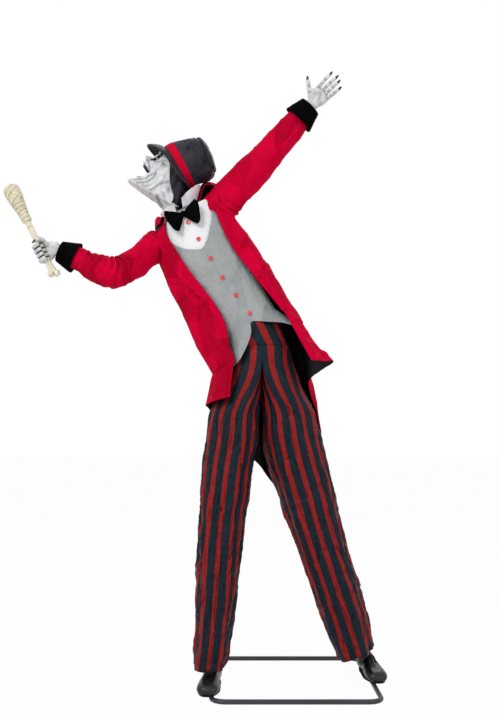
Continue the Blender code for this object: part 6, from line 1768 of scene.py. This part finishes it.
# Shoes: ankle boots of glossy black vinyl over a hard last, each slotted over its leg tube. A rubber sole is
# glued on below, and the front is laced over a tongue.
# Vinyl: dark grey-black, glossy, softly creased, with painted shade along its seams; a 1 mm grain drawn at 2
# mm.
boot_vinyl = painted(
    "glossy_boot_vinyl", ("#08080A", "#19181B"), {"Scale": 34, "Detail": 6, "Roughness": 0.6},
    {"Roughness": 0.33, "Specular IOR Level": 0.38}, spread=(0.35, 0.7), shade="#040405", broad=(0.4, 0.006),
    fine=("TexVoronoi", {"Scale": 500}, {}, 0.12, 0.0006),
)
# Moulded rubber: matt black, with painted light and shade in soft patches and facets.
sole_rubber = woven_cloth("black_sole_rubber", "#0A0A0B", "#19191B", 0.002, 0.7, 0.15, 0.15)
SHOE = (
    (-0.078, 0.018, 0.050), (-0.066, 0.031, 0.066), (-0.035, 0.035, 0.078), (0.005, 0.034, 0.080),
    (0.045, 0.036, 0.066), (0.090, 0.042, 0.052), (0.128, 0.043, 0.045), (0.154, 0.036, 0.037),
    (0.168, 0.018, 0.022),
)
SHOE_LENGTH = SHOE[-1][0] - SHOE[0][0]
SHOE_FLOOR = 0.0192


def make_shoe(name, side, foot_y, node):
    rail, hip = Vector((side * 0.3155, foot_y, 0.0094)), Vector((-0.120 + side * 0.055, 0, 1.295))
    heading = (hip - rail).normalized()
    turn = Matrix.Rotation(side * radians(6), 3, "Z")
    halves, heights = curves(SHOE)

    def on_foot(aside, ahead, height):
        return Vector((rail.x, rail.y, SHOE_FLOOR + height)) + turn @ Vector((aside, -ahead, 0))

    def upper(across, up):
        angle, ahead = 2 * pi * across, SHOE[0][0] + SHOE_LENGTH * (1 - cos(pi * up)) / 2
        half, height = between(halves, ahead), between(heights, ahead)
        blunt = (1 - (2 * up - 1) ** 16) ** 0.5
        z = height / 2 * (1 + max(-1.0, min(1.0, sin(angle) * 1.15)) * blunt)
        aside = half * cos(angle) * (1 - 0.30 * (z / 0.08) ** 2) * blunt
        return on_foot(aside, ahead, z)

    def along_leg(height, forward=0.0):
        return rail + heading * (height / heading.z) + turn @ Vector((0, -forward, 0))

    shaft = limb(
        [along_leg(*at) for at in ((0.030,), (0.075, 0.003), (0.110, 0.002), (0.142,), (0.150,))],
        ((0.031, 0.034), (0.0270, 0.0325), (0.0255, 0.0305), (0.0275, 0.0325), (0.0275, 0.0325)), TO_LEFT,
        40, 60,
    )
    body = cast_skin([draped(64, 90, upper, 1, 1), shaft], 0.0016, 7)
    # Seams and creases are sunk, with painted shade along them and on the tongue under the laces
    marks = []
    throat = (
        ((0.016, 0.050, 0.078), (0.013, 0.082, 0.066), (0.000, 0.112, 0.057)),
        ((0.033, 0.020, 0.055), (0.036, 0.062, 0.034), (0.041, 0.085, 0.010)),
    )
    for hand in (-1, 1):
        for seam in throat:
            for (a, b, c), (d, e, f) in zip(seam, seam[1:]):
                marks.append((on_foot(a * hand, b, c), on_foot(d * hand, e, f), 0.0018, 0.0010, 0.9))
        marks.append(
            (on_foot(0.043 * hand, 0.120, 0.004), on_foot(0.018 * hand, 0.163, 0.004), 0.0022, 0.0012, 0.9)
        )
        marks.append(
            (on_foot(0.036 * hand, -0.030, 0.004), on_foot(0.041 * hand, 0.110, 0.004), 0.0022, 0.0012, 0.9)
        )
    for height in (0.088, 0.102, 0.118):
        start = along_leg(height, 0.034) + TO_LEFT * 0.016
        marks.append((start, along_leg(height + 0.006, 0.034) - TO_LEFT * 0.016, 0.0020, 0.0012, 0.5))
    tongue = on_foot(0, 0.062, 0.072)
    marks.append((tongue, on_foot(0, 0.088, 0.064), 0.0085, 0.0012, 0.95))
    piece(name + "_vinyl_upper", marked(body, marks, 0.0010), "base", [boot_vinyl], [node])

    laces = []
    for k in range(4):
        ahead, height = 0.052 + 0.012 * k, 0.0795 - 0.0048 * k
        for hand in (-1, 1):
            low, high = on_foot(
                0.0125 * hand, ahead, height - 0.003,
            ), on_foot(0, ahead + 0.005, height + 0.001)
            ends = [low, high, on_foot(-0.0125 * hand, ahead + 0.010, height - 0.006)]
            laces.append(limb(ends, ((0.0016, 0.0012),) * 3, UP, 10, 14))
    piece(name + "_laces", joined(laces), "base", [sole_rubber])

    def sole(across, up):
        angle = 2 * pi * across
        ahead = 0.045 - 0.1245 * cos(angle)
        outline = abs(sin(angle)) ** 0.75 * (
            0.036 + 0.009 * ease(0.02, 0.11, ahead) - 0.004 * ease(0.0, -0.07, ahead)
        )
        edge = ((0, 0), (0.9, 0), (1, 0.0012), (1, 0.0066), (0.93, 0.0078), (0, 0.0078))
        share, rise = curves([(k / 5, *size) for k, size in enumerate(edge)])
        size = between(share, up)
        return on_foot(
            outline * size * (1 if sin(angle) > 0 else -1), 0.045 + (ahead - 0.045) * size,
            between(rise, up),
        )

    piece(name + "_rubber_sole", draped(96, 20, sole, 1, 1), "base", [sole_rubber])


make_shoe("right_boot", -1, -0.110, "right_shoe")
make_shoe("left_boot", 1, 0.060, "left_shoe")


# Frame and mechanism: welded steel tubes, plated steel parts, moulded plastic cases. Their shapes stay as
# they are, and each gets the finish that it has in use.
# Powder coat: dark grey, half gloss, with its fine orange-peel skin of 1 mm drawn at 2 mm.
powder_coat = painted(
    "grey_black_powder_coat", ("#1F1D22", "#34313A"), {"Scale": 9, "Detail": 4}, {"Roughness": (0.34, 0.46)},
    fine=("TexNoise", {"Scale": 480, "Detail": 2}, {}, 0.12, 0.0008),
)
# Zinc plate: bright grey steel, brushed along, with cloudy patches where the plating is thin.
zinc_plate, tree = empty_material("zinc_plated_steel")
spot = add(tree, "TexCoord", {}).outputs["Object"]
stretched = add(tree, "Mapping", {"Vector": spot, "Scale": (1, 1, 14)})
brush = add(tree, "TexNoise", {"Vector": stretched.outputs[0], "Scale": 90, "Detail": 3})
cloud = add(tree, "TexNoise", {"Vector": spot, "Scale": 26, "Detail": 4})
metal = add(tree, "Mix", {0: cloud.outputs[0], 6: colour("#8E9298"), 7: colour("#C2C6CB")}, data_type="RGBA")
smear = add(tree, "MapRange", {0: brush.outputs[0], 1: 0.3, 2: 0.7, 3: 0.28, 4: 0.46})
plated = add(
    tree, "BsdfPrincipled", {"Base Color": metal.outputs[2], "Metallic": 1.0, "Roughness": smear.outputs[0]}
)
add(tree, "OutputMaterial", {"Surface": plated.outputs[0]})


def moulded_plastic(name, dark, lit_tone):
    """Moulded ABS: one colour with faint flow marks and a fine spark-eroded grain, drawn at 2 mm."""
    return painted(
        name, (dark, lit_tone), {"Scale": 18, "Detail": 3, "Distortion": 0.8}, {"Roughness": 0.42},
        fine=("TexNoise", {"Scale": 500, "Detail": 1}, {}, 0.15, 0.0006),
    )


finishes = {
    "black_steel": powder_coat,
    "zinc_steel": zinc_plate,
    "grey_plastic": moulded_plastic("grey_abs", "#6C6F73", "#8A8D91"),
    "black_plastic": moulded_plastic("black_abs", "#121214", "#242427"),
}
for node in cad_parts.values():
    for place in node.material_slots:
        if place.material and place.material.name.split(".")[0] in finishes:
            place.material = finishes[place.material.name.split(".")[0]]
